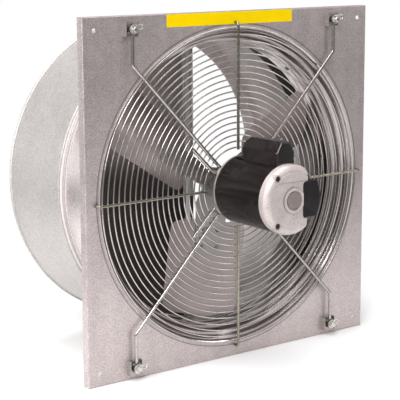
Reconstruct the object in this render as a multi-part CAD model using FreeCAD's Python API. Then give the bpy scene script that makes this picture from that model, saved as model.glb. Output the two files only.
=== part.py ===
"""Wall exhaust fan: panel with venturi mouth, wire guard, hung motor, propeller and butterfly damper.

Millimetres. The origin is the centre of the panel's room-side face, +Z is up, -Y faces the room
and +Y is the way the air leaves.
"""
import FreeCAD
import Part
import os
from math import cos, floor, pi, radians, sin, sqrt, tan

V = FreeCAD.Vector
ALONG_X = V(1, 0, 0)
ALONG_Y = V(0, 1, 0)
ALONG_Z = V(0, 0, 1)

# Fits and small clearances
contact_gap = 0.05
running_gap = 0.05
moving_gap = 0.4

# Wall panel and venturi mouth
throat_radius = 305.0
mouth_flare = 37.0
mouth_bend_radius = 15.0
mouth_bend_angle = 56.0
throat_bend_radius = 50.0
mouth_land = 2.0
mouth_lip_length = 36.0
panel_margin = 28.0
panel_edge_round = 2.2
panel_sheet = 1.2
flange_depth = 19.0
wall_hole_inset = 26.0
wall_hole_radius = 4.5

# Collar and barrel behind the panel
barrel_sheet = 1.2
collar_neck_length = 15.0
collar_step_width = 15.0
collar_step_length = 8.0
collar_step_bend = 3.0
shoulder_depth = 165.0
shoulder_width = 10.0
shoulder_inner_bend = 2.0
shoulder_outer_bend = 3.5
barrel_lip_length = 10.0
barrel_length = 190.0
barrel_flare = 6.4
rim_bead_radius = 4.0
rim_flange_width = 31.0
rim_bend_radius = 5.0
throat_rivet_count = 8
throat_rivet_start = 5.0
throat_rivet_radius = 2.4
throat_rivet_head_radius = 4.8
throat_rivet_head_height = 1.5

# Blank strip above the mouth
strip_length = 326.0
strip_width = 25.6
strip_thickness = 0.4
strip_shift = -10.0

# Wire guard
ring_wire = 3.2
ring_pitch = 13.1
ring_inset = 6.5
ring_motor_gap = 13.5
guard_stand_off = 4.4
spoke_rod = 6.0
spoke_bend_radius = 6.0
spoke_foot_margin = 5.0
spoke_inner_overlap = 4.0

# Mounting arms and their corner pins
arm_rod = 7.0
arm_bend_radius = 10.0
arm_bend_rise = 10.0
arm_lead_length = 40.0
arm_lead_radius = 60.0
arm_leg_spacing = 18.0
arm_return_length = 88.0
eye_radius = 11.0
pin_radius = 6.0
pin_from_corner = 107.0
pin_inset = 26.0
pin_head_radius = 10.0
pin_head_height = 3.0
pin_end_length = 5.0
pin_round = 2.0
bracket_sheet = 2.0
bracket_side = 30.0
bracket_flange = 12.0
bush_radius = 9.5
outer_bush_height = 3.0
pin_washer_radius = 10.0
pin_washer_thickness = 1.5
clip_wire = 2.5
clip_reach = 13.0
clip_back_reach = 5.0
clip_bend_radius = 4.0

# Motor shell and end bells
motor_radius = 72.0
shell_wall = 2.0
shell_length = 144.0
drive_bell_thickness = 5.0
rear_bell_depth = 24.0
rear_bell_flange = 4.0
rear_bell_wall = 5.0
rear_bell_round = 14.0
bell_lobe_rise = 1.5
bell_lobe_height = 38.0
bell_rib_width = 4.0
boss_ring_radius = 27.0
boss_ring_height = 2.0
cap_radius = 18.0
cap_groove = 1.8
cap_pocket_depth = 3.0
bell_side_cut = 35.0
terminal_cut = 24.0
bolt_x = 41.0
bolt_z = 48.0
bolt_radius = 2.5
bolt_head_width = 8.5
bolt_head_height = 3.0
bolt_pad_radius = 8.5
bolt_pocket_radius = 6.3
bolt_pocket_depth = 4.0

# Motor inside
shaft_radius = 6.35
shaft_tail_length = 2.0
bearing_radius = 16.0
bearing_width = 10.0
bearing_boss_wall = 6.0
stator_length = 70.0
stator_inner_radius = 38.0
air_gap = 0.5
winding_length = 20.0
winding_inner_radius = 42.0
winding_outer_radius = 57.0

# Studs that hang the motor on the arms
stud_radius = 4.0
stud_inset = 9.0
stud_spacer_length = 4.4
stud_spacer_radius = 11.0
stud_washer_thickness = 1.6
stud_nut_width = 13.0
stud_nut_height = 6.5
stud_end_length = 2.5

# Capacitor on the motor
capacitor_cover_length = 116.0
capacitor_cover_width = 46.0
capacitor_cover_height = 44.0
capacitor_cover_wall = 2.0
capacitor_cover_setback = 1.0
capacitor_cover_chamfer = 12.0
capacitor_cover_chamfer_height = 22.0
capacitor_cover_nose_length = 14.0
capacitor_cover_nose_height = 14.0
capacitor_cover_round = 5.0
capacitor_radius = 17.5
capacitor_length = 84.0
capacitor_round = 3.0
cover_screw_radius = 2.0
cover_screw_head_radius = 4.0
cover_screw_head_height = 2.0
cover_lug_length = 18.0
cover_lug_width = 14.0
cover_lug_thickness = 3.0
cover_lug_angle = 13.0

# Terminal cover on the rear bell
terminal_cover_overhang = 1.0
terminal_cover_bottom = -40.0
terminal_cover_top = 36.0
terminal_cover_depth = 18.0
terminal_cover_wall = 2.0
terminal_cover_round = 8.0
terminal_cover_edge = 3.0
terminal_lug_radius = 5.0
terminal_lug_shift = 26.0
terminal_head_gap = 0.5
terminal_lug_thickness = 4.0
terminal_screw_radius = 2.0
terminal_screw_head_radius = 3.6
terminal_screw_head_height = 2.2
terminal_board_margin = 6.0
terminal_board_thickness = 5.0
terminal_board_width = 16.0

# Propeller
tip_clearance = 9.0
blade_count = 3
blade_first_angle = 26.0
blade_plane = 80.0
blade_sheet = 1.6
blade_root_radius = 88.0
blade_leading_width = 68.0
blade_trailing_root_width = 64.0
blade_trailing_tip_width = 86.0
blade_corner_radius = 20.0
blade_root_pitch = 35.0
blade_tip_pitch = 22.0
blade_camber = 9.0
blade_grid = 6
spider_arm_thickness = 3.0
spider_arm_half_width = 26.0
spider_arm_root_half_width = 15.0
spider_arm_overlap = 76.0
spider_neck_length = 28.0
spider_ring_width = 12.0
spider_ring_thickness = 8.0
hub_radius = 19.0
hub_length = 44.0
shaft_end_length = 4.0
set_screw_radius = 3.0
rivet_radius = 2.5
rivet_head_radius = 5.0
rivet_head_height = 2.2
rivet_row_inset = 18.0
rivet_row_spacing = 38.0
rivet_line_spacing = 28.0

# Butterfly damper
saddle_gap = 1.3
post_setback = 20.0
post_half_width = 6.0
post_depth = 30.0
post_sheet = 1.5
saddle_half_width = 24.0
saddle_height = 12.0
hinge_setback = 4.5
hinge_rod_radius = 2.5
hinge_rod_seat = 4.0
knuckle_wall = 1.4
knuckle_length = 50.0
knuckle_spacing = 140.0
knuckle_count = 4
knuckle_post_gap = 1.0
door_sheet = 1.0
door_seat_overlap = 6.5
door_rest_angle = 30.0
door_bumper_radius = 6.0
door_bumper_spacing = 300.0
saddle_screw_radius = 2.0
saddle_screw_head_radius = 4.5
saddle_screw_head_height = 2.5
saddle_screw_inset = 7.0
door_end_gap = 2.0

# Sizes that follow from the ones above
mouth_radius = throat_radius + mouth_flare
panel_half = mouth_radius + panel_margin
mouth_turn = radians(mouth_bend_angle)
mouth_corner_radius = mouth_radius - mouth_bend_radius * tan(mouth_turn / 2)
mouth_cone_depth = (mouth_corner_radius - throat_radius) * tan(mouth_turn)
mouth_depth = mouth_cone_depth + throat_bend_radius * tan((pi / 2 - mouth_turn) / 2)
lip_end = mouth_depth + mouth_lip_length
lip_outer_radius = throat_radius + panel_sheet
neck_inner_radius = lip_outer_radius + contact_gap
neck_outer_radius = neck_inner_radius + barrel_sheet
collar_inner_radius = neck_inner_radius + collar_step_width
collar_outer_radius = collar_inner_radius + barrel_sheet
collar_front = mouth_depth + contact_gap
neck_end = collar_front + collar_neck_length
step_end = neck_end + collar_step_length
throat_rivet_depth = (collar_front + neck_end) / 2
barrel_lip_radius = collar_outer_radius + contact_gap + barrel_sheet
barrel_front_radius = barrel_lip_radius + shoulder_width
barrel_rear_radius = barrel_front_radius + barrel_flare
barrel_rear = shoulder_depth + barrel_length
outlet_radius = barrel_rear_radius - rim_flange_width
seat_face = shoulder_depth + barrel_sheet

ring_outer_radius = mouth_radius - ring_inset
ring_inner_radius = motor_radius + ring_motor_gap
ring_gap_count = floor((ring_outer_radius - ring_inner_radius) / ring_pitch)
ring_plane = -guard_stand_off - ring_wire / 2
ring_front = ring_plane - ring_wire / 2
spoke_plane = ring_front - contact_gap - spoke_rod / 2
spoke_foot_radius = mouth_radius + spoke_foot_margin
arm_plane = ring_front - contact_gap - arm_rod / 2
arm_front = arm_plane - arm_rod / 2
arm_back = arm_plane + arm_rod / 2

pin_x = panel_half - pin_from_corner
pin_z = panel_half - pin_inset
wall_hole_offset = panel_half - wall_hole_inset
washer_back = arm_front - outer_bush_height
washer_front = washer_back - pin_washer_thickness
clip_plane = washer_front - contact_gap - clip_wire / 2
pin_end = clip_plane - clip_wire / 2 - pin_end_length

motor_face = arm_front - stud_spacer_length
shell_front = motor_face - drive_bell_thickness
shell_rear = shell_front - shell_length
bell_face = shell_rear - rear_bell_depth
bell_flange_rear = shell_rear - rear_bell_flange
shell_inner_radius = motor_radius - shell_wall
rotor_radius = stator_inner_radius - air_gap
stator_middle = (shell_front + shell_rear) / 2
stator_front = stator_middle + stator_length / 2
stator_rear = stator_middle - stator_length / 2
boss_radius = bearing_radius + bearing_boss_wall
cap_floor = bell_face - boss_ring_height + cap_pocket_depth
bolt_seat = bell_face + bolt_pocket_depth
shaft_rear = shell_rear - bearing_width - shaft_tail_length
stud_circle = motor_radius - stud_inset
stud_along = sqrt(stud_circle ** 2 - (arm_leg_spacing / 2) ** 2)
stud_nut_face = arm_back + stud_washer_thickness
stud_end = stud_nut_face + stud_nut_height + stud_end_length
cover_rear = shell_rear + capacitor_cover_setback
cover_front = cover_rear + capacitor_cover_length
cover_seat_radius = motor_radius + contact_gap
cover_lug_face = cover_seat_radius + cover_lug_thickness
cover_lug_front = cover_front + cover_lug_length
cover_screw_depth = cover_front + cover_lug_length / 2
terminal_face = bell_flange_rear - terminal_cover_depth
terminal_cover_reach = motor_radius + terminal_cover_overhang
terminal_lug_face = bell_flange_rear - terminal_lug_thickness

tip_radius = throat_radius - tip_clearance
hub_rear = blade_plane + hub_length / 2
hub_front = blade_plane - hub_length / 2
shaft_front = hub_rear + shaft_end_length
spider_arm_end = blade_root_radius + spider_arm_overlap

saddle_front = seat_face + saddle_gap
post_front = saddle_front + post_setback
post_rear = post_front + post_depth
hinge_y = saddle_front + hinge_setback
knuckle_bore_radius = hinge_rod_radius + running_gap
knuckle_radius = knuckle_bore_radius + knuckle_wall
hinge_x = post_half_width + knuckle_post_gap + knuckle_radius
leaf_outer = hinge_x + knuckle_radius
leaf_inner = leaf_outer - door_sheet
door_radius = collar_inner_radius + door_seat_overlap
saddle_z = barrel_front_radius - barrel_sheet - saddle_height
saddle_screw_x = saddle_half_width - saddle_screw_inset
saddle_screw_depth = (post_front + post_rear) / 2
saddle_head_end = saddle_screw_depth + saddle_screw_head_radius
saddle_head_side = saddle_screw_x - saddle_screw_head_radius
saddle_head_barrel = barrel_front_radius + barrel_flare * (saddle_head_end - shoulder_depth) / barrel_length
saddle_screw_seat = sqrt(saddle_head_barrel ** 2 - saddle_head_side ** 2) + contact_gap


def cylinder(radius, start, end, x=0.0, z=0.0):
    """Return a round bar along Y between two depths."""
    low = min(start, end)
    return Part.makeCylinder(radius, abs(end - start), V(x, low, z), ALONG_Y)


def tube(outer, inner, start, end, x=0.0, z=0.0):
    """Return a round tube along Y between two depths."""
    return cylinder(outer, start, end, x, z).cut(cylinder(inner, start, end, x, z))


def block(x_span, y_span, z_span):
    """Return a box from its low and high values along each axis."""
    size = [high - low for low, high in (x_span, y_span, z_span)]
    return Part.makeBox(size[0], size[1], size[2], V(x_span[0], y_span[0], z_span[0]))


def turned(edges):
    """Return the solid made by turning a closed outline in (radius, depth) about the fan's axis."""
    outline = Part.Wire(edges)
    return Part.Face(outline).revolve(V(0, 0, 0), ALONG_Y, 360)


def line(start, end):
    """Return a straight edge."""
    return Part.LineSegment(start, end).toShape()


def rounded_edges(corners, radii):
    """Return straight runs through the corners, joined by tangent arcs of the given radii."""
    edges = []
    start = corners[0]
    for before, corner, after, radius in zip(corners, corners[1:], corners[2:], radii):
        inward = (before - corner).normalize()
        outward = (after - corner).normalize()
        half_turn = (pi - inward.getAngle(outward)) / 2
        setback = radius * tan(half_turn)
        arc_start = corner + inward * setback
        arc_end = corner + outward * setback
        bisector = (inward + outward).normalize()
        arc_middle = corner + bisector * (radius / cos(half_turn) - radius)
        edges.append(line(start, arc_start))
        edges.append(Part.Arc(arc_start, arc_middle, arc_end).toShape())
        start = arc_end
    edges.append(line(start, corners[-1]))
    return edges


def bent_rod(edges, diameter):
    """Return a round rod that follows a path of straight runs and arcs."""
    path = Part.Wire(edges)
    start = edges[0].Vertexes[0].Point
    heading = edges[0].tangentAt(edges[0].FirstParameter)
    section = Part.Wire([Part.makeCircle(diameter / 2, start, heading)])
    return path.makePipeShell([section], True, False)


def hex_bar(width, start, end, x=0.0, z=0.0):
    """Return a six-sided bar along Y, measured across its flats."""
    corner_radius = width / 2 / cos(pi / 6)
    corners = []
    for step in range(7):
        angle = step * pi / 3
        corners.append(V(x + corner_radius * cos(angle), start, z + corner_radius * sin(angle)))
    return Part.Face(Part.makePolygon(corners)).extrude(V(0, end - start, 0))


def about_axis(shape, angle):
    """Return a copy turned about the fan's axis, counted from +X towards +Z."""
    turned_copy = shape.copy()
    turned_copy.rotate(V(0, 0, 0), V(0, -1, 0), angle)
    return turned_copy


def in_quadrants(shape):
    """Return copies of a shape mirrored into the four quadrants round the fan's axis."""
    upper_right = shape
    upper_left = shape.mirror(V(0, 0, 0), ALONG_X)
    lower_left = upper_left.mirror(V(0, 0, 0), ALONG_Z)
    lower_right = shape.mirror(V(0, 0, 0), ALONG_Z)
    return [upper_right, upper_left, lower_left, lower_right]


def four_places(x, z):
    """Return the four points at plus and minus x and z."""
    return [(x, z), (-x, z), (-x, -z), (x, -z)]


def round_edges_at(shape, depth):
    """Return a shape's round edges at one depth."""
    found = []
    for edge in shape.Edges:
        if isinstance(edge.Curve, Part.Circle) and abs(edge.Curve.Center.y - depth) < contact_gap:
            found.append(edge)
    return found


def edges_at_depth(shape, depth):
    """Return a shape's edges that lie flat at one depth."""
    found = []
    for edge in shape.Edges:
        box = edge.BoundBox
        if max(abs(box.YMin - depth), abs(box.YMax - depth)) < contact_gap:
            found.append(edge)
    return found


def edges_along(shape, direction):
    """Return a shape's straight edges that run along a direction."""
    found = []
    for edge in shape.Edges:
        if isinstance(edge.Curve, Part.Line) and abs(edge.Curve.Direction.dot(direction)) > 0.999:
            found.append(edge)
    return found


def throat_rivet_angles():
    """Return the angles of the rivets round the throat."""
    return [throat_rivet_start + 360 * step / throat_rivet_count for step in range(throat_rivet_count)]


def throat_rivet_shanks(radius):
    """Return radial bars on which the throat's rivets sit."""
    start = throat_radius - throat_rivet_head_height
    length = neck_outer_radius + throat_rivet_head_height - start
    bar = Part.makeCylinder(radius, length, V(start, throat_rivet_depth, 0), ALONG_X)
    return [about_axis(bar, angle) for angle in throat_rivet_angles()]


def wall_panel():
    """Square panel with returned flanges and the drawn venturi mouth."""
    span = (-panel_half, panel_half)
    inside = (-panel_half + panel_sheet, panel_half - panel_sheet)
    outer = block(span, (0, flange_depth), span)
    outer = outer.makeFillet(panel_edge_round, edges_at_depth(outer, 0))
    hollow = block(inside, (panel_sheet, flange_depth), inside)
    hollow = hollow.makeFillet(panel_edge_round - panel_sheet, edges_at_depth(hollow, panel_sheet))
    land_radius = mouth_radius + mouth_land
    tray = outer.cut([hollow, cylinder(land_radius, 0, panel_sheet)])
    front = Part.Wire(rounded_edges(
        [
            V(land_radius, 0, 0),
            V(mouth_corner_radius, 0, 0),
            V(throat_radius, mouth_cone_depth, 0),
            V(throat_radius, lip_end, 0),
        ],
        [mouth_bend_radius, throat_bend_radius],
    ))
    sheet = front.makeOffset2D(panel_sheet, 0, True, True, False)
    mouth = sheet.revolve(V(0, 0, 0), ALONG_Y, 360)
    panel = tray.fuse(mouth).removeSplitter()
    holes = []
    for x, z in four_places(wall_hole_offset, wall_hole_offset):
        holes.append(cylinder(wall_hole_radius, 0, panel_sheet, x, z))
    for x, z in four_places(pin_x, pin_z):
        holes.append(cylinder(pin_radius + contact_gap, 0, panel_sheet, x, z))
    return panel.cut(holes + throat_rivet_shanks(throat_rivet_radius))


def collar_skin():
    """Return the collar's inside line in (radius, depth), from its neck on the lip to the damper's seat."""
    return Part.Wire(rounded_edges(
        [
            V(neck_inner_radius, collar_front, 0),
            V(neck_inner_radius, neck_end, 0),
            V(collar_inner_radius, step_end, 0),
            V(collar_inner_radius, seat_face, 0),
        ],
        [collar_step_bend, collar_step_bend],
    ))


def throat_collar():
    """Rolled collar behind the mouth: a neck on the mouth's lip, and a step out to the damper's seat."""
    sheet = collar_skin().makeOffset2D(barrel_sheet, 0, True, True, False)
    collar = sheet.revolve(V(0, 0, 0), ALONG_Y, 360)
    return collar.cut(throat_rivet_shanks(throat_rivet_radius))


def throat_rivets():
    """Rivets that join the collar to the mouth's lip."""
    inner = V(throat_radius - contact_gap, throat_rivet_depth, 0)
    outer = V(neck_outer_radius + contact_gap, throat_rivet_depth, 0)
    inner_head = Part.makeCylinder(throat_rivet_head_radius, throat_rivet_head_height, inner, ALONG_X * -1)
    outer_head = Part.makeCylinder(throat_rivet_head_radius, throat_rivet_head_height, outer, ALONG_X)
    shank = Part.makeCylinder(throat_rivet_radius, outer.x - inner.x, inner, ALONG_X)
    rivet = inner_head.fuse([shank, outer_head])
    return Part.makeCompound([about_axis(rivet, angle) for angle in throat_rivet_angles()])


def barrel_skin():
    """Return the barrel's outside line in (radius, depth), from its lip on the collar to the outlet."""
    return Part.Wire(rounded_edges(
        [
            V(barrel_lip_radius, shoulder_depth - barrel_lip_length, 0),
            V(barrel_lip_radius, shoulder_depth, 0),
            V(barrel_front_radius, shoulder_depth, 0),
            V(barrel_rear_radius, barrel_rear, 0),
            V(outlet_radius, barrel_rear, 0),
        ],
        [shoulder_inner_bend, shoulder_outer_bend, rim_bend_radius],
    ))


def barrel():
    """Flared barrel with a rounded shoulder, a lip on the collar and a beaded rear rim turned inwards."""
    sheet = barrel_skin().makeOffset2D(-barrel_sheet, 0, True, True, False)
    body = sheet.revolve(V(0, 0, 0), ALONG_Y, 360)
    rim_radius = barrel_rear_radius - barrel_sheet / 2
    rim = Part.makeTorus(rim_radius, rim_bead_radius, V(0, barrel_rear, 0), ALONG_Y)
    return body.fuse(rim).cut(saddle_screw_bars(saddle_screw_radius))


def caution_strip():
    """Blank yellow strip stuck to the panel above the mouth, notched round the top spoke's foot."""
    middle = (panel_half + mouth_radius) / 2
    half = strip_length / 2
    spread = (strip_shift - half, strip_shift + half)
    height = (middle - strip_width / 2, middle + strip_width / 2)
    notch = cylinder(spoke_rod / 2 + contact_gap, -strip_thickness, 0, 0, spoke_foot_radius)
    return block(spread, (-strip_thickness, 0), height).cut(notch)


def ring_radii():
    """Return the radii of the guard's rings, from the motor outwards."""
    step = (ring_outer_radius - ring_inner_radius) / ring_gap_count
    return [ring_inner_radius + step * index for index in range(ring_gap_count + 1)]


def guard_rings():
    """Concentric wire rings of the guard."""
    rings = []
    for radius in ring_radii():
        rings.append(Part.makeTorus(radius, ring_wire / 2, V(0, ring_plane, 0), ALONG_Y))
    return Part.makeCompound(rings)


def guard_spokes():
    """Straight spokes in front of the rings, with feet bent back to the panel."""
    inner = ring_inner_radius - spoke_inner_overlap
    corners = [
        V(inner, spoke_plane, 0),
        V(spoke_foot_radius, spoke_plane, 0),
        V(spoke_foot_radius, 0, 0),
    ]
    spoke = bent_rod(rounded_edges(corners, [spoke_bend_radius]), spoke_rod)
    return Part.makeCompound([about_axis(spoke, 90 * turn) for turn in range(4)])


def on_diagonal(along, aside):
    """Return a point of the arms' plane from its place along and aside of the upper right diagonal."""
    diagonal = sqrt(0.5)
    return V((along + aside) * diagonal, arm_plane, (along - aside) * diagonal)


def mounting_arm():
    """Upper right arm: an eye on the corner pin, a diagonal run and a hairpin turn round a motor stud."""
    outer_edges = rounded_edges(
        [
            V(pin_x, arm_plane, pin_z - pin_radius),
            V(pin_x, arm_plane, pin_x + arm_bend_rise),
            on_diagonal(stud_along + arm_lead_length, 0),
            on_diagonal(stud_along, 0),
        ],
        [arm_bend_radius, arm_lead_radius],
    )
    turn_radius = arm_leg_spacing / 2
    hairpin = Part.Arc(
        on_diagonal(stud_along, 0),
        on_diagonal(stud_along - turn_radius, turn_radius),
        on_diagonal(stud_along, arm_leg_spacing),
    ).toShape()
    return_end = on_diagonal(stud_along + arm_return_length, arm_leg_spacing)
    return_leg = line(on_diagonal(stud_along, arm_leg_spacing), return_end)
    rod = bent_rod(outer_edges + [hairpin, return_leg], arm_rod)
    eye = cylinder(eye_radius, arm_front, arm_back, pin_x, pin_z)
    hole = cylinder(pin_radius + contact_gap, arm_front, arm_back, pin_x, pin_z)
    return rod.fuse(eye).cut(hole)


def corner_brackets():
    """Small channels on the panel that seat the arms' corner pins."""
    half = bracket_side / 2
    brackets = []
    for x, z in four_places(pin_x, pin_z):
        height = (z - half, z + half)
        outer = block((x - half, x + half), (-bracket_flange, 0), height)
        inner = (x - half + bracket_sheet, x + half - bracket_sheet)
        channel = outer.cut(block(inner, (-bracket_flange, -bracket_sheet), height))
        hole = cylinder(pin_radius + contact_gap, -bracket_sheet, 0, x, z)
        brackets.append(channel.cut(hole))
    return Part.makeCompound(brackets)


def pin_rings(radius, start, end):
    """Return one ring round each corner pin."""
    inner = pin_radius + contact_gap
    return Part.makeCompound([tube(radius, inner, start, end, x, z) for x, z in four_places(pin_x, pin_z)])


def corner_pins():
    """Headed pins through the panel, with a cross hole for the hairpin clip."""
    pins = []
    for x, z in four_places(pin_x, pin_z):
        shank = cylinder(pin_radius, pin_end, panel_sheet, x, z)
        shank = shank.makeFillet(pin_round, round_edges_at(shank, pin_end))
        head = cylinder(pin_head_radius, panel_sheet, panel_sheet + pin_head_height, x, z)
        start = V(x - 2 * pin_radius, clip_plane, z)
        cross = Part.makeCylinder(clip_wire / 2 + contact_gap, 4 * pin_radius, start, ALONG_X)
        pins.append(shank.fuse(head).cut(cross))
    return Part.makeCompound(pins)


def hairpin_clips():
    """Wire clips: one leg through each pin, the other over it."""
    clips = []
    over = pin_radius + clip_wire / 2 + contact_gap
    for x, z in four_places(pin_x, pin_z):
        legs = [
            V(x - pin_radius - clip_back_reach, clip_plane, z),
            V(x + pin_radius + clip_reach, clip_plane, z),
            V(x + pin_radius + clip_reach, clip_plane, z + over + clip_wire),
            V(x - pin_radius, clip_plane, z + over),
        ]
        clips.append(bent_rod(rounded_edges(legs, [clip_bend_radius, clip_bend_radius]), clip_wire))
    return Part.makeCompound(clips)


def stud_places():
    """Return the four places of the studs that hang the motor."""
    place = on_diagonal(stud_along, arm_leg_spacing / 2)
    return four_places(place.x, place.z)


def drive_end_bell():
    """End plate on the shaft side, with the front bearing's boss and the studs' holes."""
    plate = cylinder(motor_radius, shell_front, motor_face)
    boss = cylinder(boss_radius, shell_front - bearing_width, shell_front)
    bell = plate.fuse(boss)
    pocket = cylinder(bearing_radius + contact_gap, shell_front - bearing_width, shell_front)
    passage = cylinder(shaft_radius + moving_gap, shell_front, motor_face)
    cuts = [pocket, passage]
    cuts += [cylinder(stud_radius + contact_gap, shell_front, motor_face, x, z) for x, z in stud_places()]
    bolt_hole = bolt_radius + contact_gap
    cuts += [cylinder(bolt_hole, shell_front, motor_face, x, z) for x, z in four_places(bolt_x, bolt_z)]
    return bell.cut(cuts)


def bolt_places_left():
    """Return the through-bolts' places that sit in pads on the rear bell's rounded side."""
    return [(-bolt_x, bolt_z), (-bolt_x, -bolt_z)]


def terminal_screw_places():
    """Return the places of the two screws of the terminal cover."""
    across = terminal_cut + terminal_lug_shift
    beyond = terminal_screw_head_radius + terminal_head_gap
    return [(across, terminal_cover_top + beyond), (across, terminal_cover_bottom - beyond)]


def terminal_slab(clearance, start, end):
    """Return a round-cornered slab of the terminal cover's outline, wider all round by a clearance."""
    height = (terminal_cover_bottom - clearance, terminal_cover_top + clearance)
    span = (terminal_cut + contact_gap - clearance, terminal_cover_reach + clearance)
    slab = block(span, (start, end), height).common(cylinder(span[1], start, end))
    return slab.makeFillet(terminal_cover_round + clearance, edges_along(slab, ALONG_Y))


def rear_end_bell():
    """Cast end bell: rounded shoulder, bearing boss, bolt pads and a notch for the terminal cover."""
    everywhere = (-motor_radius, motor_radius)
    outer = cylinder(motor_radius, bell_face, shell_rear)
    outer = outer.makeFillet(rear_bell_round, round_edges_at(outer, bell_face))
    outer = outer.cut(block((bell_side_cut, motor_radius), (bell_face, bell_flange_rear), everywhere))
    hollow_face = bell_face + rear_bell_wall
    hollow = cylinder(motor_radius - rear_bell_wall, hollow_face, shell_rear)
    hollow = hollow.makeFillet(rear_bell_round - rear_bell_wall, round_edges_at(hollow, hollow_face))
    inner_side = block((-motor_radius, terminal_cut - rear_bell_wall), (bell_face, shell_rear), everywhere)
    cup = outer.cut(hollow.common(inner_side))
    boss = cylinder(boss_radius, hollow_face, shell_rear)
    ring_face = bell_face - boss_ring_height
    raised = cylinder(boss_ring_radius, ring_face, bell_face)
    lobe_depth = (bell_face - bell_lobe_rise, bell_face)
    lobe = cylinder(motor_radius - rear_bell_round, lobe_depth[0], bell_face)
    lobe = lobe.common(block((-motor_radius, bell_side_cut), lobe_depth, (bell_lobe_height, motor_radius)))
    rib_half = bell_rib_width / 2
    rib = block((-rib_half, rib_half), lobe_depth, (0, bell_lobe_height))
    within = cylinder(motor_radius, bell_face, shell_rear)
    pads = []
    for x, z in bolt_places_left():
        pads.append(cylinder(bolt_pad_radius, bell_face, shell_rear, x, z).common(within))
    bell = cup.fuse([boss, raised, lobe, rib] + pads)
    cuts = [cylinder(cap_radius + cap_groove, ring_face, cap_floor)]
    cuts.append(terminal_slab(contact_gap, ring_face, bell_flange_rear))
    cuts.append(cylinder(bearing_radius + contact_gap, shell_rear - bearing_width, shell_rear))
    cuts.append(cylinder(shaft_radius + moving_gap, shaft_rear - moving_gap, shell_rear))
    for x, z in bolt_places_left():
        cuts.append(cylinder(bolt_pocket_radius, bell_face, bolt_seat, x, z))
    for x, z in four_places(bolt_x, bolt_z):
        cuts.append(cylinder(bolt_radius + contact_gap, bell_face, shell_rear, x, z))
    for x, z in terminal_screw_places():
        cuts.append(cylinder(terminal_screw_radius, bell_flange_rear, shell_rear, x, z))
    return bell.cut(cuts)


def through_bolts():
    """Long bolts that clamp the two bells on the shell."""
    bolts = []
    for x, z in four_places(bolt_x, bolt_z):
        seat = bolt_seat if x < 0 else bell_flange_rear
        head = hex_bar(bolt_head_width, seat - bolt_head_height, seat, x, z)
        bolts.append(head.fuse(cylinder(bolt_radius, seat, motor_face, x, z)))
    return Part.makeCompound(bolts)


def bearing_cap():
    """Round cap over the rear bearing, set in the boss with a groove round it."""
    return cylinder(cap_radius, bell_face - boss_ring_height, cap_floor)


def front_bearing():
    """Bearing in the drive end bell's boss."""
    return tube(bearing_radius, shaft_radius + running_gap, shell_front - bearing_width, shell_front)


def rear_bearing():
    """Bearing in the rear bell's boss."""
    return tube(bearing_radius, shaft_radius + running_gap, shell_rear - bearing_width, shell_rear)


def stator_core():
    """Laminated ring inside the shell, with ways for the through-bolts."""
    core = tube(shell_inner_radius - contact_gap, stator_inner_radius, stator_rear, stator_front)
    ways = []
    for x, z in four_places(bolt_x, bolt_z):
        ways.append(cylinder(bolt_radius + moving_gap, stator_rear, stator_front, x, z))
    return core.cut(ways)


def stator_windings():
    """End turns of the stator's coils, as plain rings at both ends of the core."""
    front = tube(winding_outer_radius, winding_inner_radius, stator_front, stator_front + winding_length)
    rear = tube(winding_outer_radius, winding_inner_radius, stator_rear - winding_length, stator_rear)
    return Part.makeCompound([front, rear])


def rotor_core():
    """Laminated rotor on the shaft."""
    return tube(rotor_radius, shaft_radius, stator_rear, stator_front)


def motor_shaft():
    """Shaft from the rear bearing to the propeller hub."""
    return cylinder(shaft_radius, shaft_rear, shaft_front)


def motor_shell():
    """Rolled steel shell of the motor."""
    shell = tube(motor_radius, shell_inner_radius, shell_rear, shell_front)
    return shell.cut(cover_screw_bars(cover_screw_radius))


def motor_studs():
    """Studs of the drive end bell that the arms' hairpin turns hang on."""
    return Part.makeCompound([cylinder(stud_radius, shell_front, stud_end, x, z) for x, z in stud_places()])


def stud_rings(radius, start, end):
    """Return one ring round each motor stud."""
    inner = stud_radius + contact_gap
    return Part.makeCompound([tube(radius, inner, start, end, x, z) for x, z in stud_places()])


def stud_nuts():
    """Hexagon nuts that clamp the arms on the studs."""
    nuts = []
    for x, z in stud_places():
        bar = hex_bar(stud_nut_width, stud_nut_face, stud_nut_face + stud_nut_height, x, z)
        hole = cylinder(stud_radius + contact_gap, stud_nut_face, stud_nut_face + stud_nut_height, x, z)
        nuts.append(bar.cut(hole))
    return Part.makeCompound(nuts)


def cover_screw_bars(radius):
    """Return bars along the capacitor cover's two screws, from inside the shell outwards."""
    start = V(0, cover_screw_depth, shell_inner_radius)
    bar = Part.makeCylinder(radius, cover_lug_face - shell_inner_radius, start, ALONG_Z)
    return [about_axis(bar, angle) for angle in (-cover_lug_angle, cover_lug_angle)]


def hood_block(inset):
    """Return the hood's block with sloped top edges and a sloped front top corner, all set in by a wall."""
    half = capacitor_cover_width / 2 - inset
    top = motor_radius + capacitor_cover_height - inset
    slope = top - capacitor_cover_chamfer_height
    crown = half - capacitor_cover_chamfer
    rear = cover_rear + inset
    front = cover_front - inset
    end = [(-half, 0), (half, 0), (half, slope), (crown, top), (-crown, top), (-half, slope)]
    end_outline = Part.makePolygon([V(x, rear, z) for x, z in end + end[:1]])
    body = Part.Face(end_outline).extrude(V(0, front - rear, 0))
    nose_back = front - capacitor_cover_nose_length
    nose_low = top - capacitor_cover_nose_height
    side = [(rear, 0), (front, 0), (front, nose_low), (nose_back, top), (rear, top)]
    side_outline = Part.makePolygon([V(-half, y, z) for y, z in side + side[:1]])
    return body.common(Part.Face(side_outline).extrude(V(2 * half, 0, 0)))


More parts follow.
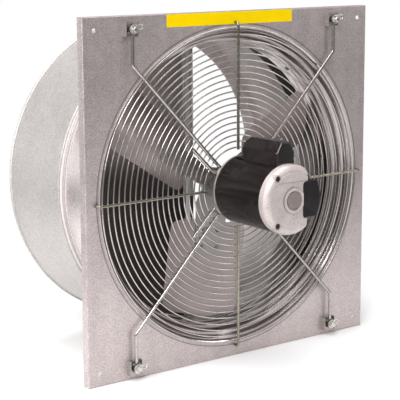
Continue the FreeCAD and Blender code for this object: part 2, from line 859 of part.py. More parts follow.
def capacitor_cover():
    """Hood on top of the motor shell, with two lugs on its front end."""
    hood = hood_block(0)
    hood = hood.makeFillet(capacitor_cover_round, [edge for edge in hood.Edges if edge.BoundBox.ZMax > 0])
    cavity = hood_block(capacitor_cover_wall)
    lug_start = cover_front - capacitor_cover_wall
    lug = tube(cover_lug_face, cover_seat_radius, lug_start, cover_lug_front)
    lug_half = cover_lug_width / 2
    lug = lug.common(block((-lug_half, lug_half), (lug_start, cover_lug_front), (0, cover_lug_face)))
    lugs = [about_axis(lug, angle) for angle in (-cover_lug_angle, cover_lug_angle)]
    hood = hood.cut(cavity).fuse(lugs)
    seat = cylinder(cover_seat_radius, cover_rear, cover_lug_front)
    return hood.cut([seat] + cover_screw_bars(cover_screw_radius))


def run_capacitor():
    """Round capacitor lying on the shell under the hood."""
    height = cover_seat_radius + capacitor_radius
    middle = (cover_front + cover_rear) / 2
    rear = middle - capacitor_length / 2
    front = middle + capacitor_length / 2
    can = cylinder(capacitor_radius, rear, front, 0, height)
    return can.makeFillet(capacitor_round, round_edges_at(can, rear) + round_edges_at(can, front))


def cover_screws():
    """Screws of the capacitor cover's lugs."""
    start = V(0, cover_screw_depth, cover_lug_face)
    head = Part.makeCylinder(cover_screw_head_radius, cover_screw_head_height, start, ALONG_Z)
    heads = [about_axis(head, angle) for angle in (-cover_lug_angle, cover_lug_angle)]
    shanks = cover_screw_bars(cover_screw_radius)
    return Part.makeCompound([top.fuse(shank) for top, shank in zip(heads, shanks)])


def terminal_cover():
    """Rounded cover over the terminals, in the rear bell's notch, with a lug at each end."""
    inner_face = terminal_cut + contact_gap
    cover = terminal_slab(0, terminal_face, bell_flange_rear)
    cover = cover.makeFillet(terminal_cover_edge, edges_at_depth(cover, terminal_face))
    wall = terminal_cover_wall
    cavity = cylinder(motor_radius - wall, terminal_face + wall, bell_flange_rear)
    cavity = cavity.common(block(
        (inner_face + wall, motor_radius),
        (terminal_face + wall, bell_flange_rear),
        (terminal_cover_bottom + wall, terminal_cover_top - wall),
    ))
    lugs = []
    for x, z in terminal_screw_places():
        lugs.append(cylinder(terminal_lug_radius, terminal_lug_face, bell_flange_rear, x, z))
    cover = cover.fuse(lugs).cut(cavity)
    holes = [cylinder(terminal_screw_radius, terminal_lug_face, bell_flange_rear, x, z)
             for x, z in terminal_screw_places()]
    return cover.cut(holes)


def terminal_board():
    """Insulating board with the terminals, on the bell's flange under the cover."""
    inner = terminal_cut + contact_gap + terminal_cover_wall + terminal_board_margin
    margin = terminal_cover_wall + terminal_board_margin
    return block(
        (inner, inner + terminal_board_width),
        (bell_flange_rear - terminal_board_thickness, bell_flange_rear),
        (terminal_cover_bottom + margin, terminal_cover_top - margin),
    )


def terminal_screws():
    """Screws of the terminal cover's lugs."""
    screws = []
    for x, z in terminal_screw_places():
        head_face = terminal_lug_face - terminal_screw_head_height
        head = cylinder(terminal_screw_head_radius, head_face, terminal_lug_face, x, z)
        screws.append(head.fuse(cylinder(terminal_screw_radius, terminal_lug_face, shell_rear, x, z)))
    return Part.makeCompound(screws)


def blade_height(along, across):
    """Return a blade's depth at a place along and across it, with its twist and camber."""
    share = (along - blade_root_radius) / (tip_radius - blade_root_radius)
    pitch = radians(blade_root_pitch + (blade_tip_pitch - blade_root_pitch) * share)
    return blade_plane - across * tan(pitch) + blade_camber * (across / blade_leading_width) ** 2


def blade_slab(shift, thickness):
    """Return a slab that follows the blade's twisted face, larger than the blade all round."""
    steps = range(blade_grid + 1)
    reach = tip_radius + blade_corner_radius
    widths = [blade_leading_width, blade_trailing_root_width, blade_trailing_tip_width]
    spread = max(widths) + blade_corner_radius
    rows = []
    for along_step in steps:
        along = reach * along_step / blade_grid
        row = []
        for across_step in steps:
            across = spread * (2 * across_step / blade_grid - 1)
            row.append(V(along, blade_height(along, across) + shift, across))
        rows.append(row)
    surface = Part.BSplineSurface()
    surface.interpolate(rows)
    return surface.toShape().extrude(V(0, thickness, 0))


def upright(outline):
    """Return a prism through the propeller's whole depth over an outline of (along, across) points."""
    reach = blade_plane + tip_radius
    corners = [V(along, -reach, across) for along, across in outline + outline[:1]]
    return Part.Face(Part.makePolygon(corners)).extrude(V(0, 2 * reach, 0))


def slanted(thickness):
    """Return a sheet's thickness measured along the fan's axis at the blade's middle pitch."""
    return thickness / cos(radians((blade_root_pitch + blade_tip_pitch) / 2))


def rivet_places():
    """Return the places of one blade's rivets, along and across it."""
    places = []
    for row in range(2):
        for side in (-1, 1):
            along = blade_root_radius + rivet_row_inset + row * rivet_row_spacing
            places.append((along, side * rivet_line_spacing / 2))
    return places


def rivet_axis(along, across):
    """Return a rivet's place on the blade's room-side face and the direction square to the face."""
    step = 1.0
    height = blade_height(along, across)
    slope_along = blade_height(along + step, across) - height
    slope_across = blade_height(along, across + step) - height
    return V(along, height, across), V(-slope_along, step, -slope_across).normalize()


def rivet_shanks():
    """Return bars through one blade and its spider arm where the rivets go."""
    bars = []
    for along, across in rivet_places():
        place, square = rivet_axis(along, across)
        start = place - square * (2 * spider_arm_thickness)
        bars.append(Part.makeCylinder(rivet_radius, 4 * spider_arm_thickness, start, square))
    return bars


def blade_rivets():
    """Rivets that hold the blades on the spider, with a head on each side."""
    rivets = []
    for along, across in rivet_places():
        place, square = rivet_axis(along, across)
        front = place - square * ((slanted(spider_arm_thickness) + contact_gap) * square.y + contact_gap)
        rear = place + square * (slanted(blade_sheet) * square.y + contact_gap)
        grip = (rear - front).Length
        shank = Part.makeCylinder(rivet_radius, grip, front, square)
        crown = rivet_head_radius / 2
        front_head = Part.makeCone(rivet_head_radius, crown, rivet_head_height, front, square * -1)
        rear_head = Part.makeCone(rivet_head_radius, crown, rivet_head_height, rear, square)
        rivets.append(shank.fuse([front_head, rear_head]))
    group = []
    for angle in blade_angles():
        group += [about_axis(rivet, angle) for rivet in rivets]
    return Part.makeCompound(group)


def blade_angles():
    """Return the directions of the blades round the axis."""
    return [blade_first_angle + 360 * step / blade_count for step in range(blade_count)]


def blade():
    """One twisted sheet blade, lying along +X."""
    far = tip_radius + blade_corner_radius
    outline = upright([
        (blade_root_radius, -blade_trailing_root_width),
        (far, -blade_trailing_tip_width),
        (far, blade_leading_width),
        (blade_root_radius, blade_leading_width),
    ])
    outline = outline.common(cylinder(tip_radius, -far, far + 2 * blade_plane))
    outline = outline.makeFillet(blade_corner_radius, edges_along(outline, ALONG_Y))
    sheet = blade_slab(0, slanted(blade_sheet)).common(outline)
    return sheet.cut(rivet_shanks()).Solids[0]


def propeller_spider():
    """Three-armed spider on the hub that carries the blades."""
    root = spider_arm_root_half_width
    half = spider_arm_half_width
    neck = hub_radius + spider_neck_length
    outline = upright([
        (hub_radius / 2, -root), (neck, -half), (spider_arm_end, -half),
        (spider_arm_end, half), (neck, half), (hub_radius / 2, root),
    ])
    ends = [edge for edge in edges_along(outline, ALONG_Y) if edge.BoundBox.XMin > neck + contact_gap]
    outline = outline.makeFillet(half / 2, ends)
    thickness = slanted(spider_arm_thickness)
    arm = blade_slab(-thickness - contact_gap, thickness).common(outline).cut(rivet_shanks())
    middle = blade_plane - thickness / 2
    half_ring = spider_ring_thickness / 2
    ring = cylinder(hub_radius + spider_ring_width, middle - half_ring, middle + half_ring)
    arms = [about_axis(arm, angle) for angle in blade_angles()]
    return ring.fuse(arms).cut(cylinder(hub_radius, hub_front, hub_rear))


def set_screw_bar():
    """Return the bar of the set screw, from the shaft's middle to beyond the outside of the hub."""
    depth = (hub_front + blade_plane - spider_ring_thickness) / 2
    return Part.makeCylinder(set_screw_radius, hub_radius + set_screw_radius, V(0, depth, 0), ALONG_Z)


def propeller_hub():
    """Round hub on the shaft."""
    return tube(hub_radius, shaft_radius, hub_front, hub_rear).cut(set_screw_bar())


def hub_set_screw():
    """Screw that locks the hub on the shaft, flush with the hub."""
    within = tube(hub_radius, shaft_radius, hub_front, hub_rear)
    return set_screw_bar().common(within)


def barrel_inside():
    """Return the space inside the barrel, a contact gap clear of its sheet."""
    skin = barrel_skin().makeOffset2D(-barrel_sheet - contact_gap, 0, False, True, False)
    front = skin.OrderedVertexes[0].Point
    rear = skin.OrderedVertexes[-1].Point
    front_middle = V(0, front.y, 0)
    rear_middle = V(0, rear.y, 0)
    closing = [line(rear, rear_middle), line(rear_middle, front_middle), line(front_middle, front)]
    return turned(skin.OrderedEdges + closing)


def saddle_screw_sides():
    """Return the place across and the side, up or down, of each saddle screw."""
    return [(x, side) for x in (-saddle_screw_x, saddle_screw_x) for side in (1, -1)]


def saddle_screw_bars(radius):
    """Return bars along the saddles' screws, from inside each saddle to outside the barrel."""
    bottom = saddle_z + saddle_height / 3
    length = saddle_screw_seat - bottom
    bars = []
    for x, side in saddle_screw_sides():
        start = V(x, saddle_screw_depth, side * bottom)
        bars.append(Part.makeCylinder(radius, length, start, ALONG_Z * side))
    return bars


def saddle_screws():
    """Screws through the barrel into the saddles."""
    screws = []
    for bar, (x, side) in zip(saddle_screw_bars(saddle_screw_radius), saddle_screw_sides()):
        start = V(x, saddle_screw_depth, side * saddle_screw_seat)
        head = Part.makeCylinder(saddle_screw_head_radius, saddle_screw_head_height, start, ALONG_Z * side)
        screws.append(bar.fuse(head))
    return Part.makeCompound(screws)


def hinge_bars(radius):
    """Return bars along the two hinge axes, seated in both saddles."""
    reach = saddle_z + hinge_rod_seat
    bars = []
    for x in (-hinge_x, hinge_x):
        bars.append(Part.makeCylinder(radius, 2 * reach, V(x, hinge_y, -reach), ALONG_Z))
    return bars


def post_saddles():
    """Blocks on the barrel's wall that carry the damper's post and hinge rods."""
    width = (-saddle_half_width, saddle_half_width)
    upper = block(width, (saddle_front, post_rear), (saddle_z, barrel_rear_radius)).common(barrel_inside())
    cuts = hinge_bars(hinge_rod_radius + contact_gap) + saddle_screw_bars(saddle_screw_radius)
    lower = upper.mirror(V(0, 0, 0), ALONG_Z)
    return Part.makeCompound([upper.cut(cuts), lower.cut(cuts)])


def damper_post():
    """Upright channel across the barrel, closed towards the room."""
    half = post_half_width
    height = (-saddle_z, saddle_z)
    outer = block((-half, half), (post_front, post_rear), height)
    inner = (-half + post_sheet, half - post_sheet)
    return outer.cut(block(inner, (post_front + post_sheet, post_rear), height))


def hinge_rods():
    """Fixed rods that the damper's doors swing on."""
    return Part.makeCompound(hinge_bars(hinge_rod_radius))


def door_bumpers():
    """Rubber buttons on the post that the open doors stop against."""
    length = leaf_inner - moving_gap - post_half_width
    depth = (post_front + post_rear) / 2
    bumpers = []
    for height in (-door_bumper_spacing / 2, door_bumper_spacing / 2):
        for side in (-1, 1):
            start = V(side * post_half_width, depth, height)
            bumpers.append(Part.makeCylinder(door_bumper_radius, length, start, ALONG_X * side))
    return Part.makeCompound(bumpers)


def left_door():
    """Half-round door, standing partly open on its hinge rod, its knuckles rolled away from the seat."""
    disc = Part.makeCylinder(door_radius, door_sheet, V(-leaf_outer, hinge_y - hinge_x, 0), ALONG_X)
    height = saddle_z - door_end_gap
    behind = block((-leaf_outer, -leaf_inner), (hinge_y, hinge_y + door_radius), (-height, height))
    sheet = disc.common(behind)
    knuckles = []
    for index in range(knuckle_count):
        bottom = (index - (knuckle_count - 1) / 2) * knuckle_spacing - knuckle_length / 2
        start = V(-hinge_x, hinge_y, bottom)
        knuckles.append(Part.makeCylinder(knuckle_radius, knuckle_length, start, ALONG_Z))
    wide_open = sheet.fuse(knuckles).cut(hinge_bars(knuckle_bore_radius))
    return wide_open.rotated(V(-hinge_x, hinge_y, 0), ALONG_Z, door_rest_angle)


def all_parts():
    """Return every piece by its name."""
    pieces = {
        "wall_panel": wall_panel(),
        "throat_collar": throat_collar(),
        "throat_rivets": throat_rivets(),
        "barrel": barrel(),
        "caution_strip": caution_strip(),
        "guard_rings": guard_rings(),
        "guard_spokes": guard_spokes(),
        "corner_brackets": corner_brackets(),
        "inner_bushes": pin_rings(bush_radius, arm_back, -bracket_sheet),
        "outer_bushes": pin_rings(bush_radius, washer_back, arm_front),
        "pin_washers": pin_rings(pin_washer_radius, washer_front, washer_back),
        "corner_pins": corner_pins(),
        "hairpin_clips": hairpin_clips(),
        "motor_shell": motor_shell(),
        "drive_end_bell": drive_end_bell(),
        "rear_end_bell": rear_end_bell(),
        "through_bolts": through_bolts(),
        "bearing_cap": bearing_cap(),
        "front_bearing": front_bearing(),
        "rear_bearing": rear_bearing(),
        "stator_core": stator_core(),
        "stator_windings": stator_windings(),
        "motor_studs": motor_studs(),
        "stud_spacers": stud_rings(stud_spacer_radius, motor_face, arm_front),
        "stud_washers": stud_rings(stud_spacer_radius, arm_back, stud_nut_face),
        "stud_nuts": stud_nuts(),
        "capacitor_cover": capacitor_cover(),
        "run_capacitor": run_capacitor(),
        "cover_screws": cover_screws(),
        "terminal_cover": terminal_cover(),
        "terminal_board": terminal_board(),
        "terminal_screws": terminal_screws(),
        "motor_shaft": motor_shaft(),
        "rotor_core": rotor_core(),
        "propeller_hub": propeller_hub(),
        "propeller_spider": propeller_spider(),
        "blade_rivets": blade_rivets(),
        "hub_set_screw": hub_set_screw(),
        "damper_post": damper_post(),
        "post_saddles": post_saddles(),
        "saddle_screws": saddle_screws(),
        "hinge_rods": hinge_rods(),
        "door_bumpers": door_bumpers(),
    }
    door = left_door()
    pieces["left_door"] = door
    pieces["right_door"] = door.mirror(V(0, 0, 0), ALONG_X)
    places = ["upper_right", "upper_left", "lower_left", "lower_right"]
    for place, arm in zip(places, in_quadrants(mounting_arm())):
        pieces["arm_" + place] = arm
    one_blade = blade()
    for number, angle in enumerate(blade_angles(), start=1):
        pieces["blade_" + str(number)] = about_axis(one_blade, angle)
    return pieces


os.makedirs("parts", exist_ok=True)
for name, shape in all_parts().items():
    shape.exportStep("parts/" + name + ".step")
    print(name, len(shape.Solids), shape.isValid(), round(shape.Volume, 1))
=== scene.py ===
"""Looks of a wall exhaust fan with a venturi panel, a ring guard and a butterfly damper.

Metres. The origin is the centre of the panel's room-side face, +Z is up and +Y is the way
the air leaves.
"""
import logging
from dataclasses import dataclass, field
from enum import Enum
from math import cos, radians, sin, tau
from typing import Any, Dict, List, Optional, Tuple, Union

import bmesh
import bpy
from mathutils import Matrix, Vector


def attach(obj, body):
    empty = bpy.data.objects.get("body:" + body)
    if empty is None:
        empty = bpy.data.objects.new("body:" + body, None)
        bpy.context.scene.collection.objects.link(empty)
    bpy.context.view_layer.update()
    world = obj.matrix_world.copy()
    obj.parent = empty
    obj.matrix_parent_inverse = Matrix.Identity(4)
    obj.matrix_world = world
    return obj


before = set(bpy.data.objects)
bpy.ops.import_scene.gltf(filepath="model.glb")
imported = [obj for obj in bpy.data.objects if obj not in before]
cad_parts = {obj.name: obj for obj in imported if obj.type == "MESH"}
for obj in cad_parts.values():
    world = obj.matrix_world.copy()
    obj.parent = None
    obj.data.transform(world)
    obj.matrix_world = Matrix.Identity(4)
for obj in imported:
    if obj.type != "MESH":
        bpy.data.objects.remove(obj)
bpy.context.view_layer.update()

LOG = logging.getLogger("exhaust_fan")
Pair = Tuple[float, float]
Triple = Tuple[float, float, float]
Colour = Triple
Settings = Dict[str, Any]
Inputs = Dict[Union[int, str], Any]

# The mean of noise, and of the random values of a metal's grains.
MEAN = 0.5
# Each finish's material, by the finish's name.
MADE: Dict[str, bpy.types.Material] = {}


class Body(Enum):
    """The rigid body that new pieces ride on."""

    FRAME = "frame"


class Axis(Enum):
    """The fan's own directions: across, with the air, and up."""

    X = 0
    Y = 1
    Z = 2


class Coordinates(Enum):
    """What a finish or the sky is read by."""

    OBJECT = "Object"
    GENERATED = "Generated"
    NORMAL = "Normal"


class Maths(Enum):
    """What a Math node does."""

    ADD = "ADD"
    SUBTRACT = "SUBTRACT"
    MULTIPLY = "MULTIPLY"
    ABSOLUTE = "ABSOLUTE"
    ROOT = "SQRT"
    SINE = "SINE"
    SMALLER = "MINIMUM"
    LARGER = "MAXIMUM"


class Sock:
    """A value among the nodes, which Python's operators can work on."""

    def __init__(self, nodes: "Nodes", socket: bpy.types.NodeSocket) -> None:
        """Wrap one output socket."""
        self.nodes = nodes
        self.socket = socket

    def _math(self, operation: Maths, first: "Value", second: "Value" = 0.0) -> "Sock":
        """Add one Math node and return its result."""
        settings = {"operation": operation.value}
        return self.nodes.value("ShaderNodeMath", settings, {0: first, 1: second})

    def __add__(self, other: "Value") -> "Sock":
        """Return self + other."""
        return self._math(Maths.ADD, self, other)

    def __radd__(self, other: "Value") -> "Sock":
        """Return other + self."""
        return self._math(Maths.ADD, other, self)

    def __sub__(self, other: "Value") -> "Sock":
        """Return self - other."""
        return self._math(Maths.SUBTRACT, self, other)

    def __rsub__(self, other: "Value") -> "Sock":
        """Return other - self."""
        return self._math(Maths.SUBTRACT, other, self)

    def __mul__(self, other: "Value") -> "Sock":
        """Return self * other."""
        return self._math(Maths.MULTIPLY, self, other)

    def __rmul__(self, other: "Value") -> "Sock":
        """Return other * self."""
        return self._math(Maths.MULTIPLY, other, self)

    def __abs__(self) -> "Sock":
        """Return the value without its sign."""
        return self._math(Maths.ABSOLUTE, self)

    def root(self) -> "Sock":
        """Return the square root."""
        return self._math(Maths.ROOT, self)

    def wave(self) -> "Sock":
        """Return the sine."""
        return self._math(Maths.SINE, self)

    def at_most(self, other: "Value") -> "Sock":
        """Return the smaller of the two."""
        return self._math(Maths.SMALLER, self, other)

    def at_least(self, other: "Value") -> "Sock":
        """Return the larger of the two."""
        return self._math(Maths.LARGER, self, other)

    def clamped(self) -> "Sock":
        """Return the value held between 0 and 1."""
        return self.at_least(0.0).at_most(1.0)

    def centred(self) -> "Sock":
        """Return noise about 0, not about its mean."""
        return self - MEAN

    def ridge(self) -> "Sock":
        """Return a sine moved into the range from 0 to 1."""
        return MEAN + MEAN * self

    def step(self, low: float, high: float) -> "Sock":
        """Return a soft step, 0 up to the low value and 1 from the high one."""
        settings = {"interpolation_type": "SMOOTHSTEP"}
        return self.nodes.value("ShaderNodeMapRange", settings, {0: self, 1: low, 2: high})


Value = Union[float, Sock]


class Nodes:
    """The nodes of a material or of the studio's sky."""

    def __init__(self, tree: bpy.types.NodeTree, place: Coordinates) -> None:
        """Empty a tree and start it with a place.

        Args:
            tree: The nodes' tree.
            place: The coordinates that stand for the place.
        """
        self.tree = tree
        self.tree.nodes.clear()
        self.place = self.coordinates(place)

    def node(
        self, kind: str, settings: Optional[Settings] = None, inputs: Optional[Inputs] = None
    ) -> bpy.types.Node:
        """Add a node.

        Args:
            kind: The node's type.
            settings: Its own settings, set first.
            inputs: Values or links of its sockets, by name or number.

        Returns:
            The new node.
        """
        made = self.tree.nodes.new(kind)
        for key, value in (settings or {}).items():
            setattr(made, key, value)
        for key, value in (inputs or {}).items():
            self.feed(made.inputs[key], value)
        return made

    def feed(self, socket: bpy.types.NodeSocket, value: Any) -> None:
        """Link a socket, or set its value.

        Args:
            socket: The input.
            value: A link, a number, a vector or a colour.
        """
        if isinstance(value, Sock):
            self.tree.links.new(value.socket, socket)
        elif socket.type == "RGBA":
            socket.default_value = (*value, 1.0)
        else:
            socket.default_value = value

    def value(
        self,
        kind: str,
        settings: Optional[Settings] = None,
        inputs: Optional[Inputs] = None,
        output: Union[int, str] = 0,
    ) -> Sock:
        """Add a node and return one of its outputs, ready for operators."""
        return Sock(self, self.node(kind, settings, inputs).outputs[output])

    def coordinates(self, kind: Coordinates) -> Sock:
        """Return one kind of coordinates."""
        return self.value("ShaderNodeTexCoord", None, None, kind.value)

    def part(self, vector: Sock, axis: Axis) -> Sock:
        """Return a vector's part along one axis."""
        return self.value("ShaderNodeSeparateXYZ", None, {0: vector}, axis.value)

    def axis(self, axis: Axis) -> Sock:
        """Return the place along one axis."""
        return self.part(self.place, axis)


@dataclass(frozen=True)
class Layer:
    """One layer of soft noise in a finish.

    Attributes:
        scale: Waves per metre.
        detail: Finer waves on top.
        stretch: What the scale is multiplied by along each axis.
    """

    scale: float
    detail: float = 2.0
    stretch: Optional[Triple] = None


class Shader(Nodes):
    """One material with a principled surface.

    Attributes:
        level: The directions square to the fan's axis.
        outward_limits: Where a face starts to look away from the axis, and where it does.
        line_detail: Finer lines among uneven lines.
        mix_share, mix_first, mix_second, mix_result: A Mix node's sockets for colours.
    """

    level: Triple = (1.0, 0.0, 1.0)
    outward_limits: Pair = (0.01, 0.05)
    line_detail: float = 1.5
    mix_share: int = 0
    mix_first: int = 6
    mix_second: int = 7
    mix_result: int = 2

    def __init__(self, name: str) -> None:
        """Start an empty material.

        Args:
            name: The material's name.
        """
        self.material = bpy.data.materials.new(name)
        self.material.use_nodes = True
        super().__init__(self.material.node_tree, Coordinates.OBJECT)
        self.surface = self.node("ShaderNodeBsdfPrincipled")
        surface = Sock(self, self.surface.outputs[0])
        self.node("ShaderNodeOutputMaterial", None, {"Surface": surface})

    def stretched(self, scale: Triple) -> Sock:
        """Return the place on the piece, scaled along each axis."""
        return self.value("ShaderNodeMapping", None, {"Vector": self.place, "Scale": scale})

    def noise(self, layer: Layer) -> Sock:
        """Return soft noise.

        Args:
            layer: Its scale, detail and stretch.

        Returns:
            A value from 0 to 1 with a mean of a half.
        """
        place = self.stretched(layer.stretch) if layer.stretch else self.place
        inputs = {"Vector": place, "Scale": layer.scale, "Detail": layer.detail}
        return self.value("ShaderNodeTexNoise", None, inputs)

    def cells(self, scale: float) -> Sock:
        """Return one random value for each grain of a metal's skin.

        Args:
            scale: Grains per metre.

        Returns:
            A value from 0 to 1.
        """
        inputs = {"Vector": self.place, "Scale": scale}
        colour = self.value("ShaderNodeTexVoronoi", None, inputs, "Color")
        return self.value("ShaderNodeSeparateColor", None, {0: colour})

    def radius(self) -> Sock:
        """Return how far the place is from the fan's axis.

        Returns:
            The distance in metres.
        """
        across = self.axis(Axis.X)
        height = self.axis(Axis.Z)
        return (across * across + height * height).root()

    def inward(self) -> Sock:
        """Return which faces look away from the fan's axis.

        Returns:
            0 on those faces and 1 on all others.
        """
        normal = self.value("ShaderNodeNewGeometry", None, None, "Normal")
        inputs = {0: normal, 1: self.stretched(self.level)}
        facing = self.value("ShaderNodeVectorMath", {"operation": "DOT_PRODUCT"}, inputs, "Value")
        return 1.0 - facing.step(*self.outward_limits)

    def facing(self, axis: Axis) -> Sock:
        """Return how far the piece at rest looks along one axis, from -1 to 1."""
        return self.part(self.coordinates(Coordinates.NORMAL), axis)

    def lines(self, along: Sock, scale: float) -> Sock:
        """Return noise in lines across one direction, so many lines per metre."""
        inputs = {"W": along, "Scale": scale, "Detail": self.line_detail}
        return self.value("ShaderNodeTexNoise", {"noise_dimensions": "1D"}, inputs)

    def fed(self, name: str) -> Sock:
        """Return what already feeds one of the surface's sockets."""
        return Sock(self, self.surface.inputs[name].links[0].from_socket)

    def blend(self, share: Sock, first: Any, second: Any) -> Sock:
        """Return a colour between the first, at a share of 0, and the second, at 1."""
        inputs = {self.mix_share: share, self.mix_first: first, self.mix_second: second}
        return self.value("ShaderNodeMix", {"data_type": "RGBA"}, inputs, self.mix_result)

    def bump(self, height: Sock, depth: float) -> Sock:
        """Return a normal for a skin on which a height of 1 is so many metres."""
        inputs = {"Strength": 1.0, "Distance": depth, "Height": height}
        return self.value("ShaderNodeBump", None, inputs)

    def finish(self, **inputs: Any) -> None:
        """Set the surface's sockets; an underscore in a name stands for a space."""
        for key, value in inputs.items():
            self.feed(self.surface.inputs[key.replace("_", " ")], value)


def lifted(tone: Colour, lift: float, share: float = 1.0) -> Colour:
    """Return a share of a tone with some white light added."""
    red, green, blue = (channel * share + lift for channel in tone)
    return red, green, blue


def dimmed(tone: Colour, share: float) -> Colour:
    """Return a tone with only a share of its light."""
    return lifted(tone, 0.0, share)


@dataclass(frozen=True)
class Finish:
    """How one kind of surface looks.

    In every finish a field named _limits holds the values between which a mark comes out,
    _share what a layer adds to the colour, _dulling what it adds to the roughness and _height
    what it adds to the skin. A number for light, dark or a tone is a share of the finish's own
    tone.
    """

    name: str
    tone: Colour

    def paint(self, shader: Shader) -> None:
        """Fill a shader with this finish."""
        raise NotImplementedError

    def material(self) -> bpy.types.Material:
        """Make the finish's material once.

        Returns:
            The material.
        """
        if self.name not in MADE:
            shader = Shader(self.name)
            self.paint(shader)
            MADE[self.name] = shader.material
        return MADE[self.name]


@dataclass(frozen=True)
class GalvanisedSheet(Finish):
    """Zinc coated sheet with faint spangle, clouds and streaks and a grainy skin."""

    roughness: float = 0.42
    metallic: float = 0.85
    contrast: float = 0.2
    spangle: float = 95.0
    clouds: Layer = Layer(6.5, 4.0)
    grain: Layer = Layer(340.0, 4.0)
    streaks: Layer = Layer(30.0, 2.0, (1.0, 1.0, 0.12))
    spangle_share: float = 0.2
    cloud_share: float = 0.5
    grain_share: float = 2.6
    streak_share: float = 0.4
    cloud_dulling: float = 0.06
    spangle_dulling: float = 0.04
    spangle_height: float = 0.15
    skin_depth: float = 0.00028

    def skin(self, shader: Shader) -> Value:
        """Return how much of the skin's height is left."""
        return 1.0

    def paint(self, shader: Shader) -> None:
        """Fill a shader with this finish.

        Args:
            shader: The material's nodes.
        """
        spangle = shader.cells(self.spangle)
        clouds = shader.noise(self.clouds)
        grain = shader.noise(self.grain)
        streaks = shader.noise(self.streaks)
        share = (
            MEAN
            + self.spangle_share * spangle.centred()
            + self.cloud_share * clouds.centred()
            + self.grain_share * grain.centred()
            + self.streak_share * streaks.centred()
        )
        dark = dimmed(self.tone, 1.0 - self.contrast)
        light = dimmed(self.tone, 1.0 + self.contrast)
        roughness = (
            self.roughness
            + self.cloud_dulling * clouds.centred()
            + self.spangle_dulling * spangle.centred()
        )
        height = (grain + self.spangle_height * spangle) * self.skin(shader)
        shader.finish(
            Base_Color=shader.blend(share.clamped(), dark, light),
            Metallic=self.metallic,
            Roughness=roughness,
            Normal=shader.bump(height, self.skin_depth),
        )


@dataclass(frozen=True)
class DrawnSheet(GalvanisedSheet):
    """Zinc coated sheet with a drawn mouth.

    The mouth has a painted shade line in the crease round it, die lines in it painted bright as
    highlight streaks and dark as shade, and it is darker towards the bottom of its throat.
    """

    drawn_radius: float = 0.342
    drawn_fade: float = 0.006
    drawn_skin: float = 0.03
    drawn_roughness: float = 0.12
    crease_radius: float = 0.3445
    crease_width: float = 0.0018
    crease_shade: float = 0.7
    die_lines: float = 75.0
    highlight_limits: Pair = (0.4, 0.48)
    highlight_tone: Colour = (0.95, 0.89, 0.88)
    highlight_metal_loss: float = 0.7
    dark_limits: Pair = (0.52, 0.6)
    dark_line_shade: float = 0.62
    throat_radius: float = 0.318
    throat_fade: float = 0.008
    throat_heights: Pair = (-0.06, 0.16)
    throat_darkening: float = 0.35
    most_darkening: float = 0.9
    dirt_and_shade_tone: float = 0.08

    def flat(self, radius: Sock) -> Sock:
        """Return 0 in the drawn mouth and 1 on the panel round it."""
        return radius.step(self.drawn_radius - self.drawn_fade, self.drawn_radius)

    def skin(self, shader: Shader) -> Value:
        """Return how much of the skin's height is left."""
        return self.drawn_skin + (1.0 - self.drawn_skin) * self.flat(shader.radius())

    def darkening(self, shader: Shader, lines: Sock) -> Sock:
        """Find where the mouth is darkened: painted shade at the crease and along the dark die
        lines, and darker towards the bottom of the throat.

        Args:
            shader: The material's nodes.
            lines: The die lines.

        Returns:
            How much of the sheet is darkened, from 0 up.
        """
        radius = shader.radius()
        # Painted shade: a thin dark line round the crease where the panel turns into the mouth.
        crease = 1.0 - abs(radius - self.crease_radius).step(0.0, self.crease_width)
        # Painted shade: the dark die lines stand in for dark reflections and shade lines in the
        # mouth.
        dark = (1.0 - self.flat(radius)) * lines.step(*self.dark_limits)
        inner, outer = self.throat_radius - self.throat_fade, self.throat_radius + self.throat_fade
        low = 1.0 - shader.axis(Axis.Z).step(*self.throat_heights)
        throat = (1.0 - radius.step(inner, outer)) * low
        # The crease line and the dark die lines are painted shade; the throat is only made darker
        # towards its bottom.
        darkening = self.crease_shade * crease + self.dark_line_shade * dark + self.throat_darkening * throat
        return darkening.at_most(self.most_darkening)

    def paint(self, shader: Shader) -> None:
        """Fill a shader with this finish.

        Args:
            shader: The material's nodes.
        """
        super().paint(shader)
        radius = shader.radius()
        drawn = 1.0 - self.flat(radius)
        lines = shader.lines(shader.axis(Axis.Y) - radius, self.die_lines)
        # Painted highlight: die lines in the mouth are made pale and less metallic, so they show
        # as bright streaks.
        highlight_lines = drawn * (1.0 - lines.step(*self.highlight_limits))
        highlighted = shader.blend(highlight_lines, shader.fed("Base Color"), self.highlight_tone)
        dirt_and_shade_colour = dimmed(self.tone, self.dirt_and_shade_tone)
        dull = shader.fed("Roughness")
        shader.finish(
            Base_Color=shader.blend(self.darkening(shader, lines), highlighted, dirt_and_shade_colour),
            Metallic=self.metallic * (1.0 - self.highlight_metal_loss * highlight_lines),
            Roughness=dull + (self.drawn_roughness - dull) * drawn,
        )


@dataclass(frozen=True)
class LinedSheet(GalvanisedSheet):
    """Zinc coated sheet of a round wall, with painted light and shade inside from some height
    upwards.
    """

    painted_inner_tone: Colour = (0.5, 0.5, 0.5)
    inner_metallic: float = 0.2
    inner_roughness: float = 0.7
    inner_foot: float = -1.0
    foot_fade: float = 0.1
    stains: Layer = Layer(18.0, 4.0)
    stain_contrast: float = 0.14

    def paint(self, shader: Shader) -> None:
        """Fill a shader with this finish.

        Args:
            shader: The material's nodes.
        """
        super().paint(shader)
        height = shader.axis(Axis.Z)
        low, high = self.inner_foot - self.foot_fade, self.inner_foot + self.foot_fade
        # Painted light and shade: from the foot height up, the inside takes the painted inner tone
        # in place of the zinc.
        inside = shader.inward() * height.step(low, high)
        dark = dimmed(self.painted_inner_tone, 1.0 - self.stain_contrast)
        light = dimmed(self.painted_inner_tone, 1.0 + self.stain_contrast)
        inner = shader.blend(shader.noise(self.stains), dark, light)
        dull = shader.fed("Roughness")
        shader.finish(
            Base_Color=shader.blend(inside, shader.fed("Base Color"), inner),
            Metallic=self.metallic + (self.inner_metallic - self.metallic) * inside,
            Roughness=dull + (self.inner_roughness - dull) * inside,
        )


